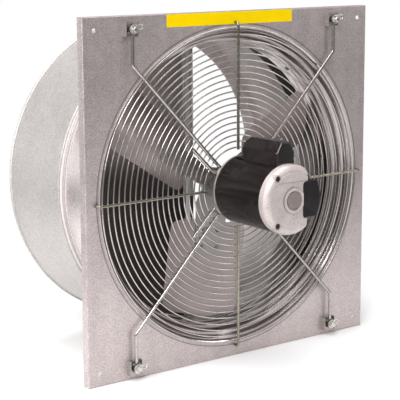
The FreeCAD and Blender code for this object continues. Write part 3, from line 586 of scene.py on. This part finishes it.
@dataclass(frozen=True)
class PaintedShadeSheet(GalvanisedSheet):
    """Zinc coated sheet with painted shade on its fan side, dark from its foot up to some height.
    """

    shade_tone: Colour = (0.1, 0.1, 0.1)
    shade_heights: Pair = (-0.04, 0.14)
    shade_edge: Layer = Layer(9.0, 3.0)
    edge_swing: float = 0.1
    rear_limits: Pair = (-0.3, 0.0)

    def paint(self, shader: Shader) -> None:
        """Fill a shader with this finish.

        Args:
            shader: The material's nodes.
        """
        super().paint(shader)
        fan_side = 1.0 - shader.facing(Axis.Y).step(*self.rear_limits)
        height = shader.axis(Axis.Z) + self.edge_swing * shader.noise(self.shade_edge).centred()
        # Painted shade: the fan side is darkened from its foot up to a wavy height.
        painted_shade = fan_side * (1.0 - height.step(*self.shade_heights))
        unshaded = shader.fed("Base Color")
        shader.finish(Base_Color=shader.blend(painted_shade, unshaded, self.shade_tone))


@dataclass(frozen=True)
class PlatedWire(Finish):
    """Bright zinc plate on drawn wire or rod, with dull flecks and clouds."""

    roughness: float = 0.24
    metallic: float = 1.0
    flecks: Layer = Layer(260.0, 3.0)
    clouds: Layer = Layer(24.0, 2.0)
    fleck_limits: Pair = (0.52, 0.72)
    fleck_share: float = 0.75
    cloud_share: float = 0.8
    light: float = 1.08
    dark: float = 0.62
    fleck_dulling: float = 0.2
    cloud_dulling: float = 0.08
    skin_depth: float = 0.00012

    def paint(self, shader: Shader) -> None:
        """Fill a shader with this finish.

        Args:
            shader: The material's nodes.
        """
        flecks = shader.noise(self.flecks)
        clouds = shader.noise(self.clouds).centred()
        dull = flecks.step(*self.fleck_limits)
        share = (self.fleck_share * dull + self.cloud_share * clouds).clamped()
        light, dark = dimmed(self.tone, self.light), dimmed(self.tone, self.dark)
        shader.finish(
            Base_Color=shader.blend(share, light, dark),
            Metallic=self.metallic,
            Roughness=self.roughness + self.fleck_dulling * dull + self.cloud_dulling * clouds,
            Normal=shader.bump(flecks, self.skin_depth),
        )


@dataclass(frozen=True)
class CastMetal(Finish):
    """Die cast metal with a grainy skin, flow marks and small pits."""

    roughness: float = 0.46
    metallic: float = 0.55
    grain: Layer = Layer(900.0, 2.0)
    flow: Layer = Layer(38.0, 5.0)
    pits: Layer = Layer(330.0, 1.0)
    pit_limits: Pair = (0.63, 0.73)
    flow_share: float = 1.2
    grain_share: float = 0.8
    pit_share: float = 0.7
    dark: float = 0.76
    light: float = 1.12
    pit_tone: float = 0.3
    flow_dulling: float = 0.2
    pit_dulling: float = 0.2
    flow_height: float = 0.5
    pit_height: float = -0.8
    skin_depth: float = 0.00022

    def paint(self, shader: Shader) -> None:
        """Fill a shader with this finish.

        Args:
            shader: The material's nodes.
        """
        grain = shader.noise(self.grain)
        flow = shader.noise(self.flow)
        pits = shader.noise(self.pits).step(*self.pit_limits)
        marks = self.flow_share * flow.centred() + self.grain_share * grain.centred()
        dark, light = dimmed(self.tone, self.dark), dimmed(self.tone, self.light)
        skin = shader.blend((MEAN + marks).clamped(), dark, light)
        roughness = self.roughness + self.flow_dulling * flow.centred() + self.pit_dulling * pits
        height = grain + self.flow_height * flow + self.pit_height * pits
        shader.finish(
            Base_Color=shader.blend(self.pit_share * pits, skin, dimmed(self.tone, self.pit_tone)),
            Metallic=self.metallic,
            Roughness=roughness,
            Normal=shader.bump(height, self.skin_depth),
        )


@dataclass(frozen=True)
class RaisedCast(CastMetal):
    """Die cast metal with painted shade along the feet of its raised forms.

    One is a ring round the axis, the other a field above a level line.
    """

    ring: float = 0.027
    field_foot: float = 0.038
    field_radius: float = 0.058
    field_fade: float = 0.002
    shade_width: float = 0.0009
    dirt_and_shade_share: float = 0.75
    dirt_and_shade_tone: float = 0.22

    def paint(self, shader: Shader) -> None:
        """Fill a shader with this finish.

        Args:
            shader: The material's nodes.
        """
        super().paint(shader)
        radius = shader.radius()
        from_foot = abs(shader.axis(Axis.Z) - self.field_foot)
        inside = 1.0 - radius.step(self.field_radius - self.field_fade, self.field_radius)
        round_ring = 1.0 - abs(radius - self.ring).step(0.0, self.shade_width)
        along_foot = (1.0 - from_foot.step(0.0, self.shade_width)) * inside
        # Painted shade: dark lines round the ring's foot and along the field's foot, where shade
        # falls in the corners.
        darkening = (self.dirt_and_shade_share * round_ring + self.dirt_and_shade_share * along_foot).at_most(1.0)
        dark = dimmed(self.tone, self.dirt_and_shade_tone)
        shader.finish(Base_Color=shader.blend(darkening, shader.fed("Base Color"), dark))


@dataclass(frozen=True)
class GlossPaint(Finish):
    """Dark gloss paint with orange peel, dust and worn specks."""

    roughness: float = 0.24
    coat: float = 0.4
    coat_roughness: float = 0.12
    peel: Layer = Layer(210.0, 1.0)
    dust: Layer = Layer(15.0, 5.0)
    specks: Layer = Layer(900.0, 1.0)
    dust_limits: Pair = (0.45, 0.8)
    speck_limits: Pair = (0.7, 0.78)
    dust_share: float = 0.5
    speck_share: float = 0.4
    dust_lift: float = 0.02
    dust_dulling: float = 0.22
    speck_dulling: float = 0.1
    skin_depth: float = 0.00028

    def paint(self, shader: Shader) -> None:
        """Fill a shader with this finish.

        Args:
            shader: The material's nodes.
        """
        dust = shader.noise(self.dust)
        specks = shader.noise(self.specks).step(*self.speck_limits)
        share = self.dust_share * dust.step(*self.dust_limits) + self.speck_share * specks
        pale = lifted(self.tone, self.dust_lift)
        dulling = self.dust_dulling * dust.centred() + self.speck_dulling * specks
        shader.finish(
            Base_Color=shader.blend(share.at_most(1.0), self.tone, pale),
            Metallic=0.0,
            Roughness=self.roughness + dulling,
            Coat_Weight=self.coat,
            Coat_Roughness=self.coat_roughness,
            Normal=shader.bump(shader.noise(self.peel), self.skin_depth),
        )


@dataclass(frozen=True)
class MouldedPlastic(Finish):
    """Moulded plastic with a fine etched skin and faint scuffs."""

    roughness: float = 0.5
    specular: float = 0.3
    etch: Layer = Layer(1300.0, 1.0)
    scuffs: Layer = Layer(45.0, 6.0)
    scuff_limits: Pair = (0.5, 0.85)
    scuff_share: float = 1.2
    scuff_lift: float = 0.008
    scuff_dulling: float = 0.25
    skin_depth: float = 0.00014

    def paint(self, shader: Shader) -> None:
        """Fill a shader with this finish.

        Args:
            shader: The material's nodes.
        """
        scuffs = shader.noise(self.scuffs)
        pale = lifted(self.tone, self.scuff_lift, self.scuff_share)
        shader.finish(
            Base_Color=shader.blend(scuffs.step(*self.scuff_limits), self.tone, pale),
            Metallic=0.0,
            Roughness=self.roughness + self.scuff_dulling * scuffs.centred(),
            Specular_IOR_Level=self.specular,
            Normal=shader.bump(shader.noise(self.etch), self.skin_depth),
        )


@dataclass(frozen=True)
class PlainRubber(Finish):
    """Black rubber with a dusty bloom."""

    roughness: float = 0.72
    bloom: Layer = Layer(90.0, 4.0)
    grain: Layer = Layer(1500.0, 1.0)
    bloom_limits: Pair = (0.4, 0.8)
    bloom_lift: float = 0.03
    bloom_dulling: float = 0.2
    skin_depth: float = 0.0001

    def paint(self, shader: Shader) -> None:
        """Fill a shader with this finish.

        Args:
            shader: The material's nodes.
        """
        bloom = shader.noise(self.bloom)
        pale = lifted(self.tone, self.bloom_lift)
        shader.finish(
            Base_Color=shader.blend(bloom.step(*self.bloom_limits), self.tone, pale),
            Roughness=self.roughness + self.bloom_dulling * bloom.centred(),
            Normal=shader.bump(shader.noise(self.grain), self.skin_depth),
        )


@dataclass(frozen=True)
class PlainFilm(Finish):
    """Plain coloured film with small ripples and a worn, slightly darker skin."""

    roughness: float = 0.4
    specular: float = 0.05
    wear: Layer = Layer(22.0, 5.0)
    grain: Layer = Layer(800.0, 2.0)
    ripple: Layer = Layer(26.0, 1.0, (1.0, 1.0, 3.0))
    wear_mean: float = 0.35
    wear_share: float = 0.9
    grain_share: float = 0.5
    worn_tone: float = 0.78
    wear_dulling: float = 0.25
    grain_height: float = 0.15
    skin_depth: float = 0.0004

    def paint(self, shader: Shader) -> None:
        """Fill a shader with this finish.

        Args:
            shader: The material's nodes.
        """
        wear = shader.noise(self.wear).centred()
        grain = shader.noise(self.grain)
        share = self.wear_mean + self.wear_share * wear + self.grain_share * grain.centred()
        worn = dimmed(self.tone, self.worn_tone)
        height = shader.noise(self.ripple) + self.grain_height * grain
        shader.finish(
            Base_Color=shader.blend(share.clamped(), self.tone, worn),
            Metallic=0.0,
            Roughness=self.roughness + self.wear_dulling * wear,
            Specular_IOR_Level=self.specular,
            Normal=shader.bump(height, self.skin_depth),
        )


@dataclass(frozen=True)
class TurnedSteel(Finish):
    """Machined steel with fine tool lines round or along one axis, and a film of oil."""

    lines: Axis = Axis.Y
    roughness: float = 0.3
    metallic: float = 1.0
    tool_feed: float = 9000.0
    clouds: Layer = Layer(55.0, 4.0)
    oil_limits: Pair = (0.45, 0.8)
    light: float = 1.08
    oiled: float = 0.68
    tool_dulling: float = 0.05
    oil_dulling: float = 0.15
    skin_depth: float = 0.00004

    def paint(self, shader: Shader) -> None:
        """Fill a shader with this finish.

        Args:
            shader: The material's nodes.
        """
        tool = (shader.axis(self.lines) * self.tool_feed).wave()
        oil = shader.noise(self.clouds).step(*self.oil_limits)
        light, oiled = dimmed(self.tone, self.light), dimmed(self.tone, self.oiled)
        shader.finish(
            Base_Color=shader.blend(oil, light, oiled),
            Metallic=self.metallic,
            Roughness=self.roughness + self.tool_dulling * tool + self.oil_dulling * oil,
            Normal=shader.bump(tool.ridge(), self.skin_depth),
        )


@dataclass(frozen=True)
class MillSheet(Finish):
    """Rolled blade sheet with mill lines across it, dull clouds and dirt thrown outwards."""

    roughness: float = 0.34
    metallic: float = 0.9
    lines: Layer = Layer(40.0, 3.0, (14.0, 1.0, 14.0))
    clouds: Layer = Layer(12.0, 5.0)
    grain: Layer = Layer(700.0, 2.0)
    line_share: float = 0.9
    cloud_share: float = 0.9
    grain_share: float = 0.6
    dark: float = 0.8
    light: float = 1.15
    dirt_radii: Pair = (0.1, 0.3)
    dirt_limits: Pair = (0.4, 0.75)
    dirt_and_shade_share: float = 0.35
    dirt_and_shade_tone: float = 0.45
    cloud_dulling: float = 0.16
    dirt_dulling: float = 0.15
    grain_height: float = 0.5
    skin_depth: float = 0.00012

    def paint(self, shader: Shader) -> None:
        """Fill a shader with this finish.

        Args:
            shader: The material's nodes.
        """
        lines = shader.noise(self.lines)
        clouds = shader.noise(self.clouds)
        grain = shader.noise(self.grain)
        thrown = shader.radius().step(*self.dirt_radii) * clouds.step(*self.dirt_limits)
        share = (
            MEAN
            + self.line_share * lines.centred()
            + self.cloud_share * clouds.centred()
            + self.grain_share * grain.centred()
        )
        dark, light = dimmed(self.tone, self.dark), dimmed(self.tone, self.light)
        skin = shader.blend(share.clamped(), dark, light)
        dulling = self.cloud_dulling * clouds.centred() + self.dirt_dulling * thrown
        dirt_and_shade_colour = dimmed(self.tone, self.dirt_and_shade_tone)
        shader.finish(
            Base_Color=shader.blend(self.dirt_and_shade_share * thrown, skin, dirt_and_shade_colour),
            Metallic=self.metallic,
            Roughness=self.roughness + dulling,
            Normal=shader.bump(lines + self.grain_height * grain, self.skin_depth),
        )


@dataclass(frozen=True)
class StackedSheets(Finish):
    """A pack of thin iron sheets with varnish and rust."""

    sheet: float = 0.0005
    roughness: float = 0.5
    metallic: float = 0.8
    rust: Layer = Layer(70.0, 5.0)
    rust_limits: Pair = (0.5, 0.8)
    rust_tone: Colour = (0.16, 0.07, 0.03)
    edge_dulling: float = 0.1
    rust_dulling: float = 0.2
    skin_depth: float = 0.0001

    def paint(self, shader: Shader) -> None:
        """Fill a shader with this finish.

        Args:
            shader: The material's nodes.
        """
        edges = (shader.axis(Axis.Y) * (tau / self.sheet)).wave()
        rust = shader.noise(self.rust).step(*self.rust_limits)
        shader.finish(
            Base_Color=shader.blend(rust, self.tone, self.rust_tone),
            Metallic=self.metallic,
            Roughness=self.roughness + self.edge_dulling * edges + self.rust_dulling * rust,
            Normal=shader.bump(edges.ridge(), self.skin_depth),
        )


@dataclass(frozen=True)
class WoundWire(Finish):
    """Lacquered copper wire, wound round the axis."""

    wire: float = 0.0011
    roughness: float = 0.3
    metallic: float = 0.9
    lacquer: Layer = Layer(80.0, 3.0)
    turn_share: float = 0.25
    dark: float = 0.45
    lacquer_dulling: float = 0.25
    skin_depth: float = 0.0004

    def paint(self, shader: Shader) -> None:
        """Fill a shader with this finish.

        Args:
            shader: The material's nodes.
        """
        turns = (shader.radius() * (tau / self.wire)).wave()
        layers = (shader.axis(Axis.Y) * (tau / self.wire)).wave()
        share = (MEAN + self.turn_share * turns + self.turn_share * layers).clamped()
        lacquer = shader.noise(self.lacquer)
        shader.finish(
            Base_Color=shader.blend(share, dimmed(self.tone, self.dark), self.tone),
            Metallic=self.metallic,
            Roughness=self.roughness + self.lacquer_dulling * lacquer.centred(),
            Normal=shader.bump(share, self.skin_depth),
        )


@dataclass
class Piece:
    """A new mesh made in steps."""

    name: str
    mesh: bmesh.types.BMesh = field(default_factory=bmesh.new)
    roundness: int = 2

    def bead(self, centre: Vector, size: Triple, turn: float) -> None:
        """Add a rounded bead.

        Args:
            centre: Its middle.
            size: Its half sizes before it is turned.
            turn: Its turn about the fan's axis, in radians from +X to +Z.
        """
        turned = Matrix.Rotation(-turn, 4, "Y") @ Matrix.Diagonal((*size, 1.0))
        bmesh.ops.create_icosphere(
            self.mesh,
            subdivisions=self.roundness,
            radius=1.0,
            matrix=Matrix.Translation(centre) @ turned,
        )

    def ride(self, body: Body, finish: Finish) -> bpy.types.Object:
        """Turn the mesh into a piece of the fan.

        Args:
            body: What it moves with.
            finish: Its looks.

        Returns:
            The new object.
        """
        data = bpy.data.meshes.new(self.name)
        self.mesh.to_mesh(data)
        self.mesh.free()
        data.shade_smooth()
        made = bpy.data.objects.new(self.name, data)
        bpy.context.scene.collection.objects.link(made)
        data.materials.append(finish.material())
        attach(made, body.value)
        LOG.info("made %s with %d faces", self.name, len(data.polygons))
        return made


def dress_nodes(finish: Finish, *names: str) -> None:
    """Give nodes of the frame a finish.

    Args:
        finish: The looks.
        names: The nodes.
    """
    for name in names:
        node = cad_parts[name]
        if not node.material_slots:
            node.data.materials.append(None)
        for slot in node.material_slots:
            slot.material = finish.material()
        LOG.info("dressed %s as %s", name, finish.name)


@dataclass
class Group:
    """A sub-assembly of the fan."""

    def build(self) -> List[bpy.types.Object]:
        """Build what the solids leave out; most groups have nothing to add."""
        return []

    def dress(self) -> None:
        """Give the group's nodes their finishes."""
        raise NotImplementedError


@dataclass
class PanelGroup(Group):
    """The wall panel, its collar and the blank strip."""

    panel: Finish = DrawnSheet("panel_zinc", (0.56, 0.49, 0.488), contrast=0.28)
    # Painted shadow: the collar's near-black lining stands in for the shade in the recess behind
    # the throat, higher up.
    collar: Finish = LinedSheet(
        "collar_zinc",
        (0.66, 0.6, 0.595),
        roughness=0.3,
        painted_inner_tone=(0.02, 0.018, 0.018),
        inner_foot=0.02,
    )
    strip: Finish = PlainFilm("strip_film", (0.97, 0.68, 0.0), roughness=0.6)
    rivets: Finish = TurnedSteel("throat_rivet_steel", (0.2, 0.19, 0.18), roughness=0.42)

    def dress(self) -> None:
        """Dress the panel's nodes."""
        dress_nodes(self.panel, "wall_panel")
        dress_nodes(self.collar, "throat_collar")
        dress_nodes(self.strip, "caution_strip")
        dress_nodes(self.rivets, "throat_rivets")


@dataclass
class BarrelGroup(Group):
    """The outlet barrel behind the panel."""

    # Painted light: the barrel's pale, dull lining stands in for light on its inside.
    barrel: Finish = LinedSheet(
        "barrel_zinc",
        (0.48, 0.453, 0.44),
        roughness=0.46,
        metallic=0.5,
        painted_inner_tone=(0.95, 0.885, 0.87),
        inner_metallic=0.0,
    )

    def dress(self) -> None:
        """Dress the barrel."""
        dress_nodes(self.barrel, "barrel")


@dataclass
class GuardGroup(Group):
    """The guard's rings and spokes, and the weld beads where they cross."""

    ring_inner: float = 0.0855
    ring_outer: float = 0.3355
    ring_count: int = 20
    spoke_count: int = 4
    weld_depth: float = -0.0079
    weld_size: Triple = (0.0021, 0.0022, 0.0036)
    wire: Finish = PlatedWire("ring_zinc", (0.52, 0.475, 0.46), roughness=0.1)
    rod: Finish = PlatedWire("spoke_zinc", (0.27, 0.258, 0.21), roughness=0.2)
    weld: Finish = CastMetal("weld_metal", (0.5, 0.48, 0.46), roughness=0.4, metallic=0.9)

    def build(self) -> List[bpy.types.Object]:
        """Build a bead at each crossing of a ring and a spoke.

        Returns:
            The beads as one piece.
        """
        piece = Piece("guard_welds")
        pitch = (self.ring_outer - self.ring_inner) / (self.ring_count - 1)
        for spoke in range(self.spoke_count):
            turn = spoke * tau / self.spoke_count
            for index in range(self.ring_count):
                radius = self.ring_inner + pitch * index
                centre = Vector((radius * cos(turn), self.weld_depth, radius * sin(turn)))
                piece.bead(centre, self.weld_size, turn)
        return [piece.ride(Body.FRAME, self.weld)]

    def dress(self) -> None:
        """Dress the guard's nodes."""
        dress_nodes(self.wire, "guard_rings")
        dress_nodes(self.rod, "guard_spokes")


@dataclass
class ArmGroup(Group):
    """The four arms and what holds them at the panel's corners and the motor's studs."""

    rod: Finish = PlatedWire("arm_zinc", (0.42, 0.394, 0.38), roughness=0.16)
    bracket: Finish = GalvanisedSheet(
        "bracket_zinc", (0.5, 0.48, 0.46), roughness=0.34, spangle=300.0
    )
    washer: Finish = PlatedWire("washer_zinc", (0.62, 0.6, 0.55), roughness=0.34)
    pin: Finish = TurnedSteel("pin_zinc", (0.6, 0.57, 0.53), roughness=0.32)
    clip: Finish = PlatedWire("clip_wire", (0.7, 0.68, 0.66), roughness=0.18)
    rubber: Finish = PlainRubber("bush_rubber", (0.022, 0.021, 0.021))
    nut: Finish = PlatedWire("nut_zinc", (0.58, 0.56, 0.5), roughness=0.34)

    def dress(self) -> None:
        """Dress the arms and their fastenings."""
        dress_nodes(self.rod, "arm_upper_right", "arm_upper_left")
        dress_nodes(self.rod, "arm_lower_left", "arm_lower_right")
        dress_nodes(self.bracket, "corner_brackets")
        dress_nodes(self.washer, "pin_washers", "stud_washers")
        dress_nodes(self.pin, "corner_pins", "motor_studs", "stud_spacers")
        dress_nodes(self.clip, "hairpin_clips")
        dress_nodes(self.rubber, "inner_bushes", "outer_bushes")
        dress_nodes(self.nut, "stud_nuts")


@dataclass
class MotorGroup(Group):
    """The motor, its bells, hood and terminal cover, and what is inside."""

    shell: Finish = GlossPaint("shell_black", (0.006, 0.0042, 0.0044), roughness=0.26, coat=0.12)
    bell: Finish = RaisedCast("bell_cast", (0.6, 0.53, 0.515), metallic=0.35)
    plate: Finish = CastMetal("plate_cast", (0.55, 0.49, 0.48))
    cap: Finish = CastMetal("cap_cast", (0.32, 0.262, 0.25), roughness=0.5)
    bolt: Finish = TurnedSteel("bolt_black", (0.035, 0.032, 0.03), roughness=0.4, metallic=0.7)
    hood: Finish = GlossPaint("hood_black", (0.0085, 0.0058, 0.006), roughness=0.18, coat=0.4)
    terminal: Finish = MouldedPlastic(
        "terminal_black", (0.0085, 0.0055, 0.0058), roughness=0.42
    )
    screw: Finish = TurnedSteel("screw_steel", (0.22, 0.21, 0.2), roughness=0.38)
    bearing: Finish = TurnedSteel("bearing_steel", (0.55, 0.55, 0.55), roughness=0.2)
    iron: Finish = StackedSheets("lamination", (0.12, 0.12, 0.125))
    copper: Finish = WoundWire("winding_copper", (0.55, 0.2, 0.07))
    can: Finish = TurnedSteel("capacitor_can", (0.7, 0.7, 0.7), roughness=0.25)
    board: Finish = MouldedPlastic("terminal_board_tan", (0.22, 0.13, 0.06), roughness=0.45)
    shaft: Finish = TurnedSteel("shaft_steel", (0.58, 0.57, 0.56), roughness=0.22)

    def dress(self) -> None:
        """Dress the motor's nodes."""
        dress_nodes(self.shell, "motor_shell")
        dress_nodes(self.bell, "rear_end_bell")
        dress_nodes(self.plate, "drive_end_bell")
        dress_nodes(self.cap, "bearing_cap")
        dress_nodes(self.bolt, "through_bolts")
        dress_nodes(self.hood, "capacitor_cover")
        dress_nodes(self.terminal, "terminal_cover")
        dress_nodes(self.screw, "terminal_screws", "cover_screws")
        dress_nodes(self.bearing, "front_bearing", "rear_bearing")
        dress_nodes(self.iron, "stator_core", "rotor_core")
        dress_nodes(self.copper, "stator_windings")
        dress_nodes(self.can, "run_capacitor")
        dress_nodes(self.board, "terminal_board")
        dress_nodes(self.shaft, "motor_shaft")


@dataclass
class PropellerGroup(Group):
    """The propeller on the shaft."""

    blade: Finish = MillSheet("blade_mill", (0.43, 0.37, 0.36), metallic=0.7)
    spider: Finish = MillSheet("spider_mill", (0.4, 0.375, 0.365), roughness=0.4)
    hub: Finish = TurnedSteel("hub_steel", (0.36, 0.35, 0.34), roughness=0.36)
    rivet: Finish = TurnedSteel("blade_rivet_steel", (0.26, 0.25, 0.24), roughness=0.4)
    set_screw: Finish = TurnedSteel("set_screw_black", (0.05, 0.05, 0.05), roughness=0.4)

    def dress(self) -> None:
        """Dress the propeller's nodes."""
        dress_nodes(self.blade, "blade_1", "blade_2", "blade_3")
        dress_nodes(self.spider, "propeller_spider")
        dress_nodes(self.hub, "propeller_hub")
        dress_nodes(self.rivet, "blade_rivets")
        dress_nodes(self.set_screw, "hub_set_screw")


@dataclass
class DamperGroup(Group):
    """The butterfly damper in the barrel."""

    post: Finish = GalvanisedSheet("post_zinc", (0.86, 0.8, 0.79), roughness=0.5, metallic=0.1)
    # Painted shade: the doors' fan sides are dark low down.
    door: Finish = PaintedShadeSheet(
        "door_zinc",
        (0.5, 0.46, 0.445),
        roughness=0.32,
        metallic=0.7,
        shade_tone=(0.08, 0.071, 0.067),
    )
    rod: Finish = TurnedSteel(
        "hinge_rod_steel", (0.5, 0.48, 0.46), lines=Axis.Z, roughness=0.3
    )
    saddle: Finish = CastMetal("saddle_cast", (0.46, 0.44, 0.43))
    screw: Finish = TurnedSteel(
        "saddle_screw_steel", (0.4, 0.39, 0.37), lines=Axis.Z, roughness=0.36
    )
    rubber: Finish = PlainRubber("bumper_rubber", (0.024, 0.023, 0.023))

    def dress(self) -> None:
        """Dress the damper's nodes."""
        dress_nodes(self.post, "damper_post")
        dress_nodes(self.door, "left_door", "right_door")
        dress_nodes(self.rod, "hinge_rods")
        dress_nodes(self.saddle, "post_saddles")
        dress_nodes(self.screw, "saddle_screws")
        dress_nodes(self.rubber, "door_bumpers")


@dataclass(frozen=True)
class SoftBox:
    """One soft round studio light."""

    name: str
    place: Triple
    size: float
    power: float
    aim: Triple = (0.0, 0.0, 0.0)

    def build(self) -> None:
        """Add the light, turned to its aim."""
        data = bpy.data.lights.new(self.name, "AREA")
        data.shape = "DISK"
        data.size = self.size
        data.energy = self.power
        light = bpy.data.objects.new(self.name, data)
        light.location = self.place
        ahead = Vector(self.aim) - Vector(self.place)
        light.rotation_euler = ahead.to_track_quat("-Z", "Y").to_euler()
        bpy.context.scene.collection.objects.link(light)


@dataclass
class Studio:
    """The pale floor, the soft light and the camera.

    A field named _glow is light from one side of the room, and the pairs below it say where
    that light starts and where it is full, as parts of a direction of length 1.
    """

    floor_height: float = -0.3702
    floor_radius: float = 2.2
    floor_sides: int = 96
    floor_fade: Pair = (0.7, 2.0)
    floor_wash: Layer = Layer(0.6, 2.0)
    floor_tones: Tuple[Colour, Colour] = ((0.9, 0.9, 0.9), (0.93, 0.93, 0.93))
    floor_roughness: float = 0.9
    backdrop: float = 1.0
    backdrop_tone: Colour = (1.0, 1.0, 1.0)
    side_glow: float = 0.2
    top_glow: float = 0.46
    top_heights: Pair = (0.2, 0.8)
    ground_glow: float = 0.34
    ground_depths: Pair = (0.02, 0.4)
    front_glow: float = 0.4
    front_ahead: Pair = (0.2, 0.9)
    front_left: Pair = (0.0, 0.6)
    rear_loss: float = 0.15
    rear_behind: Pair = (-0.1, 0.6)
    rear_right: Pair = (-0.8, -0.3)
    camera_place: Triple = (-1.71099, -2.19989, 0.52201)
    camera_turn: float = radians(37.217)
    camera_tilt: float = radians(9.978)
    camera_roll: float = radians(-0.106)
    sensor: float = 36.0
    lens: float = 120.52
    shift: Pair = (-0.05, -0.07)
    lights: List[SoftBox] = field(default_factory=lambda: [
        SoftBox("key_light", (-2.2, -2.0, 2.4), size=1.5, power=74.0),
        SoftBox("top_light", (-0.3, 0.2, 3.2), size=2.4, power=84.0),
        SoftBox("left_light", (-3.0, 0.1, 1.2), size=1.4, power=52.0),
        SoftBox("right_light", (2.6, -2.2, 1.2), size=0.9, power=9.0),
        SoftBox("rear_light", (-2.6, 3.0, 0.4), size=1.6, power=9.0, aim=(0.0, 0.2, 0.0)),
    ])

    def floor_material(self) -> bpy.types.Material:
        """Make the floor's paper, which fades out towards its rim.

        Returns:
            The material.
        """
        shader = Shader("floor_paper")
        across = shader.axis(Axis.X)
        depth = shader.axis(Axis.Y)
        radius = (across * across + depth * depth).root()
        shader.finish(
            Base_Color=shader.blend(shader.noise(self.floor_wash), *self.floor_tones),
            Roughness=self.floor_roughness,
            Alpha=1.0 - radius.step(*self.floor_fade),
        )
        return shader.material

    def floor(self) -> None:
        """Add the floor."""
        mesh = bmesh.new()
        bmesh.ops.create_circle(
            mesh, cap_ends=True, segments=self.floor_sides, radius=self.floor_radius
        )
        data = bpy.data.meshes.new("floor")
        mesh.to_mesh(data)
        mesh.free()
        data.materials.append(self.floor_material())
        floor = bpy.data.objects.new("floor", data)
        floor.location = (0.0, 0.0, self.floor_height)
        bpy.context.scene.collection.objects.link(floor)

    def sky(self) -> None:
        """Fill the room with plain soft light and a white backdrop."""
        scene = bpy.context.scene
        world = bpy.data.worlds.new("studio")
        world.use_nodes = True
        nodes = Nodes(world.node_tree, Coordinates.GENERATED)
        across, depth, height = (nodes.axis(axis) for axis in Axis)
        top = self.top_glow * height.step(*self.top_heights)
        ground = self.ground_glow * (0.0 - height).step(*self.ground_depths)
        ahead = (0.0 - depth).step(*self.front_ahead) * (0.0 - across).step(*self.front_left)
        behind = depth.step(*self.rear_behind) * across.step(*self.rear_right)
        all_round = self.side_glow + top + ground + self.front_glow * ahead
        glow = all_round * (1.0 - self.rear_loss * behind)
        seen = nodes.value("ShaderNodeLightPath", None, None, "Is Camera Ray")
        strength = glow + (self.backdrop - glow) * seen
        inputs = {"Color": self.backdrop_tone, "Strength": strength}
        light = nodes.value("ShaderNodeBackground", None, inputs)
        nodes.node("ShaderNodeOutputWorld", None, {"Surface": light})
        scene.world = world
        scene.view_settings.view_transform = "Standard"

    def camera(self) -> None:
        """Add the camera at the photograph's viewing angle."""
        data = bpy.data.cameras.new("camera")
        data.sensor_width = self.sensor
        data.lens = self.lens
        data.shift_x, data.shift_y = self.shift
        ahead = Vector((
            sin(self.camera_turn) * cos(self.camera_tilt),
            cos(self.camera_turn) * cos(self.camera_tilt),
            -sin(self.camera_tilt),
        ))
        right = Vector((cos(self.camera_turn), -sin(self.camera_turn), 0.0))
        up = right.cross(ahead)
        rolled_right = cos(self.camera_roll) * right + sin(self.camera_roll) * up
        rolled_up = cos(self.camera_roll) * up - sin(self.camera_roll) * right
        turn = Matrix((rolled_right, rolled_up, -ahead)).transposed().to_4x4()
        camera = bpy.data.objects.new("camera", data)
        camera.matrix_world = Matrix.Translation(self.camera_place) @ turn
        bpy.context.scene.collection.objects.link(camera)
        bpy.context.scene.camera = camera

    def build(self) -> None:
        """Set up the whole studio."""
        self.floor()
        self.sky()
        self.camera()
        for light in self.lights:
            light.build()


def main() -> None:
    """Build the studio and the fan, group by group."""
    logging.basicConfig(level=logging.INFO)
    Studio().build()
    groups: List[Group] = [
        PanelGroup(),
        BarrelGroup(),
        GuardGroup(),
        ArmGroup(),
        MotorGroup(),
        PropellerGroup(),
        DamperGroup(),
    ]
    for group in groups:
        group.dress()
        added = group.build()
        LOG.info("%s is done with %d new pieces", type(group).__name__, len(added))


if __name__ == "__main__":
    main()
